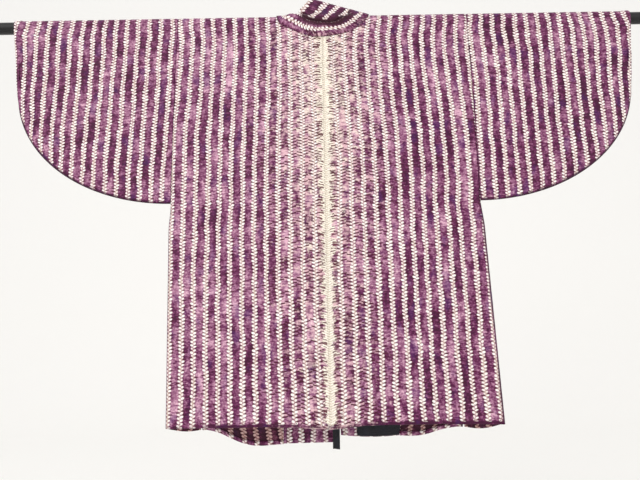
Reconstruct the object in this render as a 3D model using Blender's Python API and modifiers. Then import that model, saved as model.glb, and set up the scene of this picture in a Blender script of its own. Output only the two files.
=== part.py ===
"""A kimono coat hung by its sleeves on a round rod, seen from the back at azimuth 0.

Run it with: blender --background --python part.py
Units are metres, +Z is up, +X runs along the rod to the right of the coat's back, and the back faces -Y.
The origin is on the rod's centre line, under the middle of the back neck.

The cut follows the real coat. Each body half is one length of cloth from the back hem, over the rod, to the
front hem. A narrow gusset closes each side, the sleeves are folded tubes with a round lower corner, and the
collar is one long strip from front hem to front hem, which passes over the rod behind the neck.
Cloth is first laid out as its middle surface, which a Solidify modifier turns into a wall.
"""

import math

import bmesh
import bpy
from mathutils import Vector

# The rod that holds the coat
ROD_RADIUS = 0.012
ROD_LENGTH = 1.40
ROD_SIDES = 32

# Cloth walls, and the gap that touching pieces keep
CLOTH = 0.0016
COLLAR_CLOTH = 0.0020
NAVY_CLOTH = 0.0012
SEAM_GAP = 0.0003
TURN_SLACK = 0.0003  # extra room for the collar's edge on top of the rod
FOLD_RADIUS = 0.0134  # middle of the cloth where it turns over the rod
FOLD_STEPS = 8
FOLD_LENGTH = math.pi * FOLD_RADIUS

# Body
HALF_BACK = 0.300  # centre back seam to armhole seam
BACK_DROP = 0.800  # rod centre to back hem
BACK_BELLY = 0.0166  # how far the middle of the back hem stands off towards the viewer
BACK_HEM_DIP = 0.006  # the middle of the back hem hangs lower than its sides
NECK_DEPTH = 0.032  # rod centre down to the back neckline
NECK_HALF_WIDTH = 0.089
NECK_ROUNDNESS = 1.3
FRONT_STAND_OFF = 0.0526  # how far the front hem stands further from the rod than the fold does
FRONT_WAVE = 0.005
BACK_ROWS = 16
NECK_ROWS = 4
FRONT_ROWS = 18
BODY_COLUMNS = 10

# Armhole, where the two layers close towards the underarm
UNDERARM_DROP = 0.3905
PINCH = 0.0016  # half the gap between the layers where they are sewn together
BULGE = 2.2  # the layers stay apart most of the way down, then close

# Sleeve, from the armhole seam to the cuff
CUFF_TOP = 0.639  # centre back to cuff, along the rod
CUFF_DROP = 0.1395
SLEEVE_COLUMNS = 15
SLEEVE_ROWS = 13

# Gusset
GUSSET_TOP = 0.410
GUSSET_ROWS = 12
GUSSET_COLUMNS = 3

# Collar
COLLAR_STEPS_ACROSS = 14
COLLAR_STEPS_PER_SECTION = 5

# Tie, a flat navy ribbon inside the left front
TIE_WIDTH = 0.013
TIE_TOP = 0.450
TIE_END = 0.850
TIE_X = 0.0130
TIE_ROWS = 10

# Navy facing at the foot of the right collar
FACING_TOP = 0.700
FACING_INNER_X = 0.053
FACING_ROWS = 5
FACING_COLUMNS = 4

# The two halves hang a little differently. One row for each half.
# side: sign of x | back_hem_x: side edge at the back hem | front_hem_x: gusset seam at the front hem
# seam_hem_x: collar seam at the front hem | front_drop: rod centre to front hem | lift: rise of that hem at
# the gusset seam | lift_from: where the rise starts, as a share of the panel's width
# cuff_foot_x: lower end of the cuff, which leans in | sleeve_drop: rod centre to the sleeve's lowest point
HALVES = {
    "left": dict(side=-1, back_hem_x=0.286, front_hem_x=0.232, seam_hem_x=0.087, front_drop=0.8415,
                 lift=0.028, lift_from=0.58, cuff_foot_x=0.6215, sleeve_drop=0.3870),
    "right": dict(side=1, back_hem_x=0.305, front_hem_x=0.246, seam_hem_x=0.132, front_drop=0.8295,
                  lift=0.018, lift_from=0.20, cuff_foot_x=0.6265, sleeve_drop=0.3905),
}
SEAM_NECK_X = 0.092  # collar seam on the front, just below the rod

# Collar sections along the one strip, from the left front hem round the back neck to the right front hem.
# edge_x, edge_h: the sewn edge, as x and the way along the body cloth from the rod's back side to the front
# free_x, free_y, free_z: the free edge | turn: radius at which the band passes over the rod
COLLAR = (
    # name                 edge_x   edge_h   free_x   free_y   free_z   turn
    ("left hem", -0.0930, 0.8836, 0.0150, 0.0690, -0.8405, 0.0160),
    ("left waist", -0.0935, 0.4921, 0.0160, 0.0460, -0.4500, 0.0160),
    ("left chest", -0.0955, 0.1980, 0.0170, 0.0300, -0.1900, 0.0165),
    ("left upper front", -0.0970, 0.0900, 0.0130, 0.0270, -0.0980, 0.0180),
    ("left below the rod", -0.0975, 0.0500, 0.0060, 0.0280, -0.0680, 0.0200),
    ("left over the rod", -0.0965, 0.0230, -0.0030, 0.0285, -0.0480, 0.0215),
    ("left neck point", -0.0900, -0.0060, -0.0120, 0.0295, -0.0330, 0.0200),
    ("left shoulder", -0.0700, -0.0190, -0.0205, 0.0310, -0.0185, 0.0183),
    ("left back corner", -0.0480, -0.0310, -0.0290, 0.0325, -0.0015, 0.0170),
    ("left back", -0.0250, -0.0400, -0.0360, 0.0300, 0.0165, 0.0173),
    ("centre back", 0.0000, -0.0410, -0.0415, 0.0210, 0.0285, 0.0173),
    ("right back", 0.0300, -0.0365, -0.0465, 0.0125, 0.0340, 0.0175),
    ("right back corner", 0.0580, -0.0290, -0.0490, 0.0070, 0.0355, 0.0172),
    ("right shoulder", 0.0800, -0.0130, -0.0380, 0.0020, 0.0450, 0.0174),
    ("right neck point", 0.0950, 0.0040, -0.0270, -0.0010, 0.0540, 0.0170),
    ("standing pleat", 0.0990, 0.0210, -0.0180, 0.0020, 0.0590, 0.0170),
    ("behind the pleat", 0.0990, 0.0350, -0.0190, 0.0170, 0.0480, 0.0170),
    ("right below the rod", 0.0985, 0.0540, -0.0210, 0.0370, 0.0050, 0.0165),
    ("right upper front", 0.0990, 0.0940, -0.0210, 0.0430, -0.0600, 0.0160),
    ("right chest", 0.1020, 0.1980, -0.0150, 0.0450, -0.1650, 0.0160),
    ("right waist", 0.1180, 0.4921, 0.0050, 0.0570, -0.4500, 0.0160),
    ("right hem", 0.1380, 0.8716, 0.0215, 0.0700, -0.8285, 0.0160),
)

# Colours from the photograph: base colour, roughness, metallic
SHIBORI_PURPLE = (0.27, 0.11, 0.27, 1.0)
NAVY = (0.020, 0.024, 0.045, 1.0)
ROD_BLACK = (0.012, 0.012, 0.013, 1.0)


def mix(a, b, t):
    return a + (b - a) * t


def smooth(t):
    t = min(max(t, 0.0), 1.0)
    return t * t * (3 - 2 * t)


def shut(t):
    """Half the gap between the cloth's layers, from the rod at t = 0 to the closed edge at t = 1."""
    return PINCH + (FOLD_RADIUS - PINCH) * (1 - min(max(t, 0.0), 1.0) ** BULGE)


# Body cloth: where its middle surface lies


def back_y(x, z):
    """The back panel's depth: flat to the rod's back side above, gently bellied at the hem."""
    towards_side = (1 - math.cos(math.pi * min(abs(x) / HALF_BACK, 1.0))) / 2
    middle = FOLD_RADIUS + BACK_BELLY * (max(-z, 0.0) / BACK_DROP) ** 1.2
    return -mix(middle, shut(-z / UNDERARM_DROP), towards_side)


def front_side_y(half, z):
    """The front panel's outer edge: sewn to the sleeve above the underarm, then on the gusset."""
    if -z <= UNDERARM_DROP:
        return shut(-z / UNDERARM_DROP)
    below = (-z - UNDERARM_DROP) / (half["front_drop"] - UNDERARM_DROP)
    return PINCH + FRONT_STAND_OFF * below**0.8


def front_middle_y(half, z):
    return FOLD_RADIUS + FRONT_STAND_OFF * max(-z, 0.0) / half["front_drop"]


def front_y(half, across, z):
    """The front panel's depth, from the collar seam at across = 0 to the outer edge at across = 1."""
    wave = FRONT_WAVE * math.sin(math.tau * across) * max(-z, 0.0) / half["front_drop"]
    return mix(front_middle_y(half, z), front_side_y(half, z), smooth(across)) - wave


def back_outer_x(half, z):
    below = max(-z - UNDERARM_DROP, 0.0) / (BACK_DROP - UNDERARM_DROP)
    return mix(HALF_BACK - SEAM_GAP / 2, half["back_hem_x"], below)


def front_outer_x(half, z):
    below = max(-z - UNDERARM_DROP, 0.0) / (half["front_drop"] - UNDERARM_DROP)
    return mix(HALF_BACK - SEAM_GAP / 2, half["front_hem_x"], min(below, 1.0))


def front_seam_x(half, z):
    return mix(SEAM_NECK_X, half["seam_hem_x"], min(max(-z / half["front_drop"], 0.0), 1.0))


def neckline_x(height):
    """The back neckline: x of the panel's inner edge at a height measured along the cloth."""
    rise = (height + NECK_DEPTH) / (NECK_DEPTH + FOLD_LENGTH / 2)
    return NECK_HALF_WIDTH * min(max(rise, 0.0), 1.0) ** (1 / NECK_ROUNDNESS)


def front_hem_z(half, across):
    rise = smooth((across - half["lift_from"]) / (1 - half["lift_from"]))
    return -half["front_drop"] + half["lift"] * rise


def body_rows(half):
    """Rows of points from the back hem, over the rod, to the front hem."""
    side = half["side"]
    shares = [i / BODY_COLUMNS for i in range(BODY_COLUMNS + 1)]
    inner = SEAM_GAP / 2
    rows = []

    def back_row(z, inner_x, hem_dip=0.0):
        row = []
        for share in shares:
            x = mix(inner_x, back_outer_x(half, z), share)
            row.append(Vector((side * x, back_y(x, z), z - hem_dip * (1 - smooth(2 * share)))))
        rows.append(row)

    for i in range(BACK_ROWS):
        t = i / BACK_ROWS
        z = mix(-BACK_DROP, -NECK_DEPTH, t)
        back_row(z, inner, BACK_HEM_DIP * (1 - t) ** 2)
    for i in range(NECK_ROWS):
        z = mix(-NECK_DEPTH, 0.0, i / NECK_ROWS)
        back_row(z, max(inner, neckline_x(z)))
    for i in range(FOLD_STEPS + 1):
        turn = math.pi * i / FOLD_STEPS
        height = FOLD_RADIUS * turn
        inner_x = neckline_x(height) if turn < math.pi / 2 else mix(
            NECK_HALF_WIDTH, SEAM_NECK_X, 2 * turn / math.pi - 1)
        outer_x = HALF_BACK - SEAM_GAP / 2
        rows.append([Vector((side * mix(inner_x, outer_x, share), -FOLD_RADIUS * math.cos(turn),
                             FOLD_RADIUS * math.sin(turn))) for share in shares])
    for i in range(1, FRONT_ROWS + 1):
        row = []
        for share in shares:
            z = front_hem_z(half, share) * i / FRONT_ROWS
            x = mix(front_seam_x(half, z), front_outer_x(half, z), share)
            row.append(Vector((side * x, front_y(half, share, z), z)))
        rows.append(row)
    return rows


# Sleeve: rings of points from the armhole to the cuff


def sleeve_rings(half):
    """Closed rings that run from the underarm seam up the back, over the rod and down the front."""
    side = half["side"]
    rings = []
    inner_x = HALF_BACK + SEAM_GAP / 2
    for column in range(SLEEVE_COLUMNS + 1):
        angle = math.pi / 2 * column / SLEEVE_COLUMNS
        top_x = mix(inner_x, CUFF_TOP, math.sin(angle))
        foot_x = mix(inner_x, half["cuff_foot_x"], math.sin(angle))
        foot_z = -mix(CUFF_DROP, half["sleeve_drop"], math.cos(angle))
        back = []
        for row in range(SLEEVE_ROWS, 0, -1):
            down = row / SLEEVE_ROWS
            back.append(Vector((side * mix(top_x, foot_x, down), -shut(down), foot_z * down)))
        fold = [Vector((side * top_x, -FOLD_RADIUS * math.cos(math.pi * i / FOLD_STEPS),
                        FOLD_RADIUS * math.sin(math.pi * i / FOLD_STEPS)))
                for i in range(FOLD_STEPS + 1)]
        front = [Vector((p.x, -p.y, p.z)) for p in reversed(back)]
        foot = Vector((side * foot_x, 0.0, foot_z - PINCH))
        rings.append(back + fold + front + [foot])
    return rings


# Gusset between the back's side edge and the front's


def gusset_rows(half):
    rows = []
    side = half["side"]
    front_foot = -front_hem_z(half, 1.0)
    for i in range(GUSSET_ROWS + 1):
        t = i / GUSSET_ROWS
        back_z = -mix(GUSSET_TOP, BACK_DROP, t)
        front_z = -mix(GUSSET_TOP, front_foot, t)
        start = Vector((side * back_outer_x(half, back_z), -PINCH, back_z))
        end = Vector((side * front_outer_x(half, front_z), front_side_y(half, front_z), front_z))
        flat = Vector((end.x - start.x, end.y - start.y))
        slope = abs(math.atan2(flat.y, abs(flat.x)))
        inset = (CLOTH / 2 + SEAM_GAP + CLOTH / 2 * math.cos(slope)) / math.sin(slope)
        share = inset / flat.length
        rows.append([start.lerp(end, mix(share, 1 - share, c / GUSSET_COLUMNS))
                     for c in range(GUSSET_COLUMNS + 1)])
    return rows


# Collar: a strip whose sewn edge lies on the body cloth and which passes over the rod like a taut string


def on_body(half, x, height, off):
    """A point off the outside of the body cloth, at a way along it from the rod's back side."""
    if height <= 0:
        return Vector((x, back_y(x, height) - off, height))
    if height < FOLD_LENGTH:
        turn = height / FOLD_RADIUS
        radius = FOLD_RADIUS + off + TURN_SLACK * math.sin(turn)
        return Vector((x, -radius * math.cos(turn), radius * math.sin(turn)))
    z = FOLD_LENGTH - height
    return Vector((x, front_middle_y(half, z) + off, z))


def over_rod(edge, free, turn):
    """Points along the shortest way from edge to free that passes over a circle of radius turn."""
    edge_away = math.hypot(edge.y, edge.z)
    free_away = math.hypot(free.y, free.z)
    turn = min(turn, edge_away, free_away)
    edge_at = math.atan2(edge.z, edge.y) % math.tau
    free_at = math.atan2(free.z, free.y)
    flat = [(edge.y, edge.z)]
    if edge.y < 0 or edge.z > 0:
        leaves = edge_at - math.acos(turn / edge_away)
        lands = free_at + math.acos(turn / free_away)
        if leaves > lands:
            steps = max(2, math.ceil((leaves - lands) / math.radians(12)))
            flat += [(turn * math.cos(mix(leaves, lands, i / steps)),
                      turn * math.sin(mix(leaves, lands, i / steps))) for i in range(steps + 1)]
    flat.append((free.y, free.z))
    lengths = [0.0]
    for a, b in zip(flat, flat[1:]):
        lengths.append(lengths[-1] + math.dist(a, b))
    points = []
    for step in range(COLLAR_STEPS_ACROSS + 1):
        way = lengths[-1] * step / COLLAR_STEPS_ACROSS
        i = max(k for k in range(len(flat) - 1) if lengths[k] <= way + 1e-12)
        t = (way - lengths[i]) / max(lengths[i + 1] - lengths[i], 1e-12)
        x = mix(edge.x, free.x, step / COLLAR_STEPS_ACROSS)
        points.append(Vector((x, mix(flat[i][0], flat[i + 1][0], t), mix(flat[i][1], flat[i + 1][1], t))))
    return points


def curve_through(values, t):
    """A smooth curve through the values, one for each whole t."""
    i = min(int(t), len(values) - 2)
    t -= i
    b, c = values[i], values[i + 1]
    a = values[i - 1] if i > 0 else 2 * b - c
    d = values[i + 2] if i + 2 < len(values) else 2 * c - b
    return b + t / 2 * ((c - a) + t * ((2 * a - 5 * b + 4 * c - d) + t * (3 * (b - c) + d - a)))


def collar_section(t):
    """Points across the collar at station t of its table."""
    edge_x, edge_h, free_x, free_y, free_z, turn = (
        curve_through([row[column] for row in COLLAR], t) for column in range(1, 7))
    half = HALVES["left" if edge_x < 0 else "right"]
    off = CLOTH / 2 + SEAM_GAP + COLLAR_CLOTH / 2
    edge = on_body(half, edge_x, edge_h, off)
    return over_rod(edge, Vector((free_x, free_y, free_z)), turn)


def collar_rows():
    stations = (len(COLLAR) - 1) * COLLAR_STEPS_PER_SECTION
    return [collar_section(i / COLLAR_STEPS_PER_SECTION) for i in range(stations + 1)]


def on_collar(x, z, hem_station, chest_station):
    """The collar's middle surface on one of the fronts, at a given x and height."""
    low, high = chest_station, hem_station
    for _ in range(40):
        t = (low + high) / 2
        across = collar_section(t)
        edge, free = across[0], across[-1]
        share = (x - edge.x) / (free.x - edge.x)
        if mix(edge.z, free.z, share) > z:
            low = t
        else:
            high = t
    return Vector((x, mix(edge.y, free.y, share), z))


# Navy pieces


def facing_rows(half):
    off = COLLAR_CLOTH / 2 + SEAM_GAP + NAVY_CLOTH / 2
    last = len(COLLAR) - 1
    rows = []
    for i in range(FACING_ROWS + 1):
        z = -mix(FACING_TOP, half["front_drop"] - 0.001, i / FACING_ROWS)
        outer = front_seam_x(half, z) - CLOTH
        rows.append([on_collar(mix(FACING_INNER_X, outer, c / FACING_COLUMNS), z, last, last - 2)
                     - Vector((0.0, off, 0.0)) for c in range(FACING_COLUMNS + 1)])
    return rows


def tie_rows():
    off = COLLAR_CLOTH / 2 + SEAM_GAP + NAVY_CLOTH / 2
    top = on_collar(TIE_X, -TIE_TOP, 0, 2).y - off
    rows = []
    for i in range(TIE_ROWS + 1):
        t = i / TIE_ROWS
        y = top + 0.010 * smooth(1.6 * t - 0.2)
        z = -mix(TIE_TOP, TIE_END, t)
        rows.append([Vector((TIE_X + TIE_WIDTH * share, y, z)) for share in (-0.5, 0.5)])
    return rows


# Making the objects


def clear_scene():
    for obj in list(bpy.data.objects):
        bpy.data.objects.remove(obj, do_unlink=True)


def new_collection(name):
    collection = bpy.data.collections.new(name)
    bpy.context.scene.collection.children.link(collection)
    return collection


def new_material(name, colour, roughness, metallic=0.0):
    material = bpy.data.materials.new(name)
    material.use_nodes = True
    shader = material.node_tree.nodes["Principled BSDF"]
    shader.inputs["Base Color"].default_value = colour
    shader.inputs["Roughness"].default_value = roughness
    shader.inputs["Metallic"].default_value = metallic
    material.diffuse_color = colour
    return material


def new_cloth(name, rows, thickness, material, collection, ring=False):
    """A wall of cloth from rows of points on its middle surface. A ring closes each row on itself."""
    shape = bmesh.new()
    grid = [[shape.verts.new(point) for point in row] for row in rows]
    for upper, lower in zip(grid, grid[1:]):
        columns = range(len(upper) if ring else len(upper) - 1)
        for c in columns:
            n = (c + 1) % len(upper)
            shape.faces.new((upper[c], upper[n], lower[n], lower[c]))
    bmesh.ops.recalc_face_normals(shape, faces=shape.faces)
    mesh = bpy.data.meshes.new(name)
    shape.to_mesh(mesh)
    shape.free()
    mesh.shade_smooth()
    mesh.set_sharp_from_angle(angle=math.radians(50))
    mesh.materials.append(material)
    obj = bpy.data.objects.new(name, mesh)
    collection.objects.link(obj)
    wall = obj.modifiers.new("Wall", "SOLIDIFY")
    wall.thickness = thickness
    wall.offset = 0.0
    wall.use_even_offset = False
    return obj


def new_rod(material, collection):
    bpy.ops.mesh.primitive_cylinder_add(
        vertices=ROD_SIDES, radius=ROD_RADIUS, depth=ROD_LENGTH, rotation=(0.0, math.pi / 2, 0.0))
    rod = bpy.context.object
    rod.name = "rod"
    for other in list(rod.users_collection):
        other.objects.unlink(rod)
    collection.objects.link(rod)
    rod.data.materials.append(material)
    rod.data.shade_smooth()
    rod.data.set_sharp_from_angle(angle=math.radians(40))
    return rod


def main():
    clear_scene()
    coat = new_collection("kimono_coat")
    shibori = new_material("tie_dyed_silk", SHIBORI_PURPLE, 0.75)
    navy = new_material("navy_cloth", NAVY, 0.85)
    black = new_material("rod_lacquer", ROD_BLACK, 0.30)

    new_rod(black, coat)
    for name, half in HALVES.items():
        new_cloth("body_" + name, body_rows(half), CLOTH, shibori, coat)
        new_cloth("sleeve_" + name, sleeve_rings(half), CLOTH, shibori, coat, ring=True)
        new_cloth("gusset_" + name, gusset_rows(half), CLOTH, shibori, coat)
    new_cloth("collar", collar_rows(), COLLAR_CLOTH, shibori, coat)
    new_cloth("facing_right", facing_rows(HALVES["right"]), NAVY_CLOTH, navy, coat)
    new_cloth("tie", tie_rows(), NAVY_CLOTH, navy, coat)


main()
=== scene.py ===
# %% [markdown]
# # A kimono coat in tie-dyed stripes, hung on a rod
# The coat is unlined silk. Its stripes are rows of small raised dots: the dyer binds each dot with
# thread, dips the cloth in purple, and the bound spots stay cream. The bound cloth also keeps its
# puckers, so the pattern is relief as well as colour. The solids of the coat come first, and every piece
# here is laid on their form.

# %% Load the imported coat
import math

import bpy
import numpy as np
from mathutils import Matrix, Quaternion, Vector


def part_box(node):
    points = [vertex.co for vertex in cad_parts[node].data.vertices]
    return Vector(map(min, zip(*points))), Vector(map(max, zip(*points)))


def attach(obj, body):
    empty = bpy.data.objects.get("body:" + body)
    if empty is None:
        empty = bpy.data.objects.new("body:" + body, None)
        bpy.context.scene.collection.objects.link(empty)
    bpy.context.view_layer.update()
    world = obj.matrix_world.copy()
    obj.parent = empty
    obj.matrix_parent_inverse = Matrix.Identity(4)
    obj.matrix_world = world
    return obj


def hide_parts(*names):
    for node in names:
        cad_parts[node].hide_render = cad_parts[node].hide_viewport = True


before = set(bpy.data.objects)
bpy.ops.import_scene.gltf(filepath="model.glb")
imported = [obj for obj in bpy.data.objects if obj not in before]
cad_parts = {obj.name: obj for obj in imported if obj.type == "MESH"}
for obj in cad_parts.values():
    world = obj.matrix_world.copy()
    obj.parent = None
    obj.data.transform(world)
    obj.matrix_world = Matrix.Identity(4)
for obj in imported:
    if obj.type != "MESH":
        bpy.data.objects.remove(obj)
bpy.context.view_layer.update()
bpy.ops.object.select_all(action="DESELECT")

# %% [markdown]
# ## Camera
# The picture was taken from below the middle of the coat with a wide lens, so the vertical stripes fan
# out downwards. A camera could be aimed by eye, but the even pitch of the stripes gives its height, tilt
# and lens.

# %% Camera
EYE = (-0.012, -0.8965, -0.6545)
TILT = math.radians(101.9)
ROLL = math.radians(-0.97)
LENS_MM = 27.05

bpy.ops.object.camera_add(location=EYE)
camera = bpy.context.object
camera.rotation_mode = "QUATERNION"
camera.rotation_quaternion = Quaternion((1.0, 0.0, 0.0), TILT) @ Quaternion((0.0, 0.0, 1.0), ROLL)
camera.data.lens = LENS_MM
camera.data.clip_start = 0.01
bpy.context.scene.camera = camera
print("camera at", EYE, "looking", round(math.degrees(TILT) - 90, 1), "degrees up")

# %% [markdown]
# ## Stage and light
# A pale floor sweeps up into a pale wall well behind the rod. One very large soft light stands behind
# the camera's shoulder and a weaker one at the other side. Hard light would show the relief better, but
# the cloth was seen in flat, even light, so the lights are broad.

# %% Floor that sweeps up into the wall
FLOOR_Z = -1.35
STAGE_WIDTH = 12.0
STAGE_FRONT = -5.0
STAGE_BACK = 4.0
SWEEP_RADIUS = 1.0
WALL_TOP = 5.0


def deselect_all():
    bpy.ops.object.select_all(action="DESELECT")


bpy.ops.mesh.primitive_plane_add(size=1.0, location=(0.0, (STAGE_FRONT + STAGE_BACK) / 2, FLOOR_Z))
stage = bpy.context.object
stage.name = "studio_floor"
stage.scale = (STAGE_WIDTH, STAGE_BACK - STAGE_FRONT, 1.0)
bpy.ops.object.transform_apply(location=True, scale=True)
bpy.ops.object.mode_set(mode="EDIT")
bpy.ops.mesh.select_all(action="DESELECT")
bpy.ops.object.mode_set(mode="OBJECT")
for edge in stage.data.edges:
    edge.select = all(stage.data.vertices[i].co.y > STAGE_BACK - 0.01 for i in edge.vertices)
bpy.ops.object.mode_set(mode="EDIT")
bpy.ops.mesh.extrude_region_move(TRANSFORM_OT_translate={"value": (0.0, 0.0, WALL_TOP - FLOOR_Z)})
bpy.ops.object.mode_set(mode="OBJECT")
sweep = stage.modifiers.new("sweep", "BEVEL")
sweep.width = SWEEP_RADIUS
sweep.segments = 16
sweep.limit_method = "ANGLE"
bpy.ops.object.modifier_apply(modifier="sweep")
bpy.ops.object.shade_smooth_by_angle(angle=math.radians(40))
studio_white = bpy.data.materials.new("studio_white")
studio_white.use_nodes = True
white_shader = studio_white.node_tree.nodes["Principled BSDF"]
white_shader.inputs["Base Color"].default_value = (0.95, 0.945, 0.93, 1.0)
white_shader.inputs["Roughness"].default_value = 0.9
white_shader.inputs["Emission Color"].default_value = (1.0, 0.99, 0.97, 1.0)
white_shader.inputs["Emission Strength"].default_value = 0.03
stage.data.materials.append(studio_white)
print("stage faces:", len(stage.data.polygons))

# %% Lights
SKY_COLOUR = (1.0, 0.991, 0.978)
SKY_STRENGTH = 0.90
KEY_WATTS = 34.0
FILL_WATTS = 10.0

bpy.context.scene.view_settings.view_transform = "Standard"

world = bpy.data.worlds.new("studio")
world.use_nodes = True
world.node_tree.nodes["Background"].inputs["Color"].default_value = (*SKY_COLOUR, 1.0)
world.node_tree.nodes["Background"].inputs["Strength"].default_value = SKY_STRENGTH
bpy.context.scene.world = world


def soft_light(name, place, aim, size, watts):
    """A square area light of soft warm white, turned from its place to its aim."""
    bpy.ops.object.light_add(type="AREA", location=place)
    lamp = bpy.context.object
    lamp.name = name
    lamp.data.size = size
    lamp.data.energy = watts
    lamp.data.color = (1.0, 0.985, 0.965)
    away = np.array(place) - np.array(aim)
    flat = math.hypot(away[0], away[1])
    lamp.rotation_euler = (math.atan2(flat, away[2]), 0.0, math.atan2(away[1], away[0]) + math.pi / 2)


soft_light("key", (-1.4, -2.6, 0.9), (0.0, 0.0, -0.4), 2.2, KEY_WATTS)
soft_light("fill", (2.2, -2.0, 0.2), (0.0, 0.0, -0.4), 2.0, FILL_WATTS)

# %% [markdown]
# ## Writing shader maths as Python
# Every cloth here needs a long formula of its place in the pattern. Wiring that by hand takes a page of
# lines, so a small class wraps a socket and lets plus, minus, times and divide add the Math nodes.

# %% Shader helpers


def linear(red, green, blue):
    """A screen colour of 0 to 255 as the linear colour that a shader takes."""
    return tuple((c / 255 / 12.92 if c <= 10 else ((c / 255 + 0.055) / 1.055) ** 2.4)
                 for c in (red, green, blue)) + (1.0,)


class Wire:
    """A socket with a value that changes over the surface."""

    def __init__(self, finish, socket):
        self.finish = finish
        self.socket = socket

    def maths(self, operation, *values):
        return self.finish.node("ShaderNodeMath", {"operation": operation}, dict(enumerate(values)))

    def __add__(self, other):
        return self.maths("ADD", self, other)

    def __sub__(self, other):
        return self.maths("SUBTRACT", self, other)

    def __rsub__(self, other):
        return self.maths("SUBTRACT", other, self)

    def __mul__(self, other):
        return self.maths("MULTIPLY", self, other)

    def __truediv__(self, other):
        return self.maths("DIVIDE", self, other)

    def __pow__(self, other):
        return self.maths("POWER", self, other)

    def __gt__(self, other):
        return self.maths("GREATER_THAN", self, other)

    def __lt__(self, other):
        return self.maths("LESS_THAN", self, other)

    def __abs__(self):
        return self.maths("ABSOLUTE", self)

    __radd__ = __add__
    __rmul__ = __mul__

    def round(self):
        return self.maths("ROUND", self)

    def top(self, other):
        return self.maths("MAXIMUM", self, other)

    def least(self, other):
        return self.maths("MINIMUM", self, other)

    def step(self, low, high):
        """0 below low, 1 above high, and a smooth ramp between; low above high turns it round."""
        return self.finish.node(
            "ShaderNodeMapRange", {"interpolation_type": "SMOOTHSTEP", "clamp": True},
            {"Value": self, "From Min": low, "From Max": high, "To Min": 0.0, "To Max": 1.0})


class Finish:
    """A material and its one Principled shader."""

    def __init__(self, name, **constants):
        self.material = bpy.data.materials.new(name)
        self.material.use_nodes = True
        self.tree = self.material.node_tree
        self.shader = self.tree.nodes["Principled BSDF"]
        for socket, value in constants.items():
            self.shader.inputs[socket.replace("_", " ")].default_value = value

    def node(self, kind, settings, inputs, out=0):
        """One node: its settings first, then its sockets' values or wires."""
        made = self.tree.nodes.new(kind)
        for setting, value in settings.items():
            if setting == "stops":
                ramp = made.color_ramp
                ramp.elements[0].position, ramp.elements[0].color = value[0]
                ramp.elements[1].position, ramp.elements[1].color = value[-1]
                for position, colour in value[1:-1]:
                    ramp.elements.new(position).color = colour
            else:
                setattr(made, setting, value)
        for socket, value in inputs.items():
            if isinstance(value, Wire):
                self.tree.links.new(value.socket, made.inputs[socket])
            else:
                made.inputs[socket].default_value = value
        return Wire(self, made.outputs[out])

    def attribute(self, name):
        """The three numbers of a piece's own attribute."""
        vector = self.node("ShaderNodeAttribute", {"attribute_name": name}, {}, out="Vector")
        return self.parts(vector)

    def parts(self, vector):
        split = self.node("ShaderNodeSeparateXYZ", {}, {0: vector})
        return [Wire(self, split.socket.node.outputs[i]) for i in range(3)]

    def place(self, x, y, z=0.0):
        return self.node("ShaderNodeCombineXYZ", {}, {0: x, 1: y, 2: z})

    def noise(self, where, scale=1.0, detail=2.0, roughness=0.5):
        return self.node("ShaderNodeTexNoise", {"noise_dimensions": "3D"},
                         {"Vector": where, "Scale": scale, "Detail": detail, "Roughness": roughness})

    def chance(self, where):
        """A number from 0 to 1 that is the same all over each whole-numbered place."""
        return self.node("ShaderNodeTexWhiteNoise", {"noise_dimensions": "3D"}, {"Vector": where})

    def blend(self, share, first, second):
        """First colour where share is 0, second where it is 1."""
        return self.node("ShaderNodeMix", {"data_type": "RGBA"},
                         {0: share, 6: first, 7: second}, out=2)

    def tint(self, share, first, second):
        """First colour where share is 0, both multiplied where it is 1."""
        return self.node("ShaderNodeMix", {"data_type": "RGBA", "blend_type": "MULTIPLY"},
                         {0: share, 6: first, 7: second}, out=2)

    def ramp(self, share, stops):
        return self.node("ShaderNodeValToRGB", {"stops": stops}, {0: share})

    def wave(self, wire, pitch):
        """A wave from -1 to 1 with its pitch in the same unit as the wire."""
        return self.node("ShaderNodeMath", {"operation": "SINE"}, {0: wire * (math.tau / pitch)})

    def paint(self, socket, wire):
        self.tree.links.new(wire.socket, self.shader.inputs[socket])

    def bump(self, height, distance, strength=1.0):
        """Small relief, with its height in the given distance in metres."""
        relief = {"Height": height, "Distance": distance, "Strength": strength}
        self.paint("Normal", self.node("ShaderNodeBump", {}, relief))


print("cream is", [round(c, 3) for c in linear(253, 236, 228)])

# %% [markdown]
# ## The tie-dyed silk
# On the real cloth each stripe is two staggered columns of bound dots. A dot keeps the cloth's own
# cream, and its rim is scalloped. An image of the cloth would tile and blur. So the pattern is drawn
# from numbers that each piece carries: how many stripes across, how many dots along, how far from the
# seam, and how pale the dye is there.

# %% Dye recipe
DOT_CREAM = linear(255, 251, 248)
DOT_PINK = linear(226, 196, 196)
THREAD_YELLOW = linear(214, 198, 174)
BETWEEN_DOTS = linear(170, 134, 138)
DYE_DEEP = linear(64, 4, 46)
DYE_PURPLE = linear(102, 34, 80)
DYE_LILAC = linear(154, 101, 132)
DYE_PALE = linear(220, 174, 194)
DYE_VIOLET = linear(66, 32, 104)
DYE_MAROON = linear(76, 16, 38)
GROUND_CREAM = linear(250, 235, 221)
GROUND_PINK = linear(230, 190, 196)
INSIDE_SHADE_AND_DULL = linear(214, 184, 182)
LEAF_CREAM = linear(255, 247, 231)
VEE_LINE = linear(172, 150, 122)
STROKE_BROWN = linear(90, 24, 42)
CREASE_SHADE = linear(48, 2, 18)
STRIPE_MM = 22.8  # from one stripe to the next
DOT_MM = 6.3  # from one dot to the next in its column
VEIN_MM = 5.2  # from one slanted stroke to the next beside the centre seam
STITCH_MM = 9.0  # from one pick of the hem's blind stitch to the next


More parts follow.
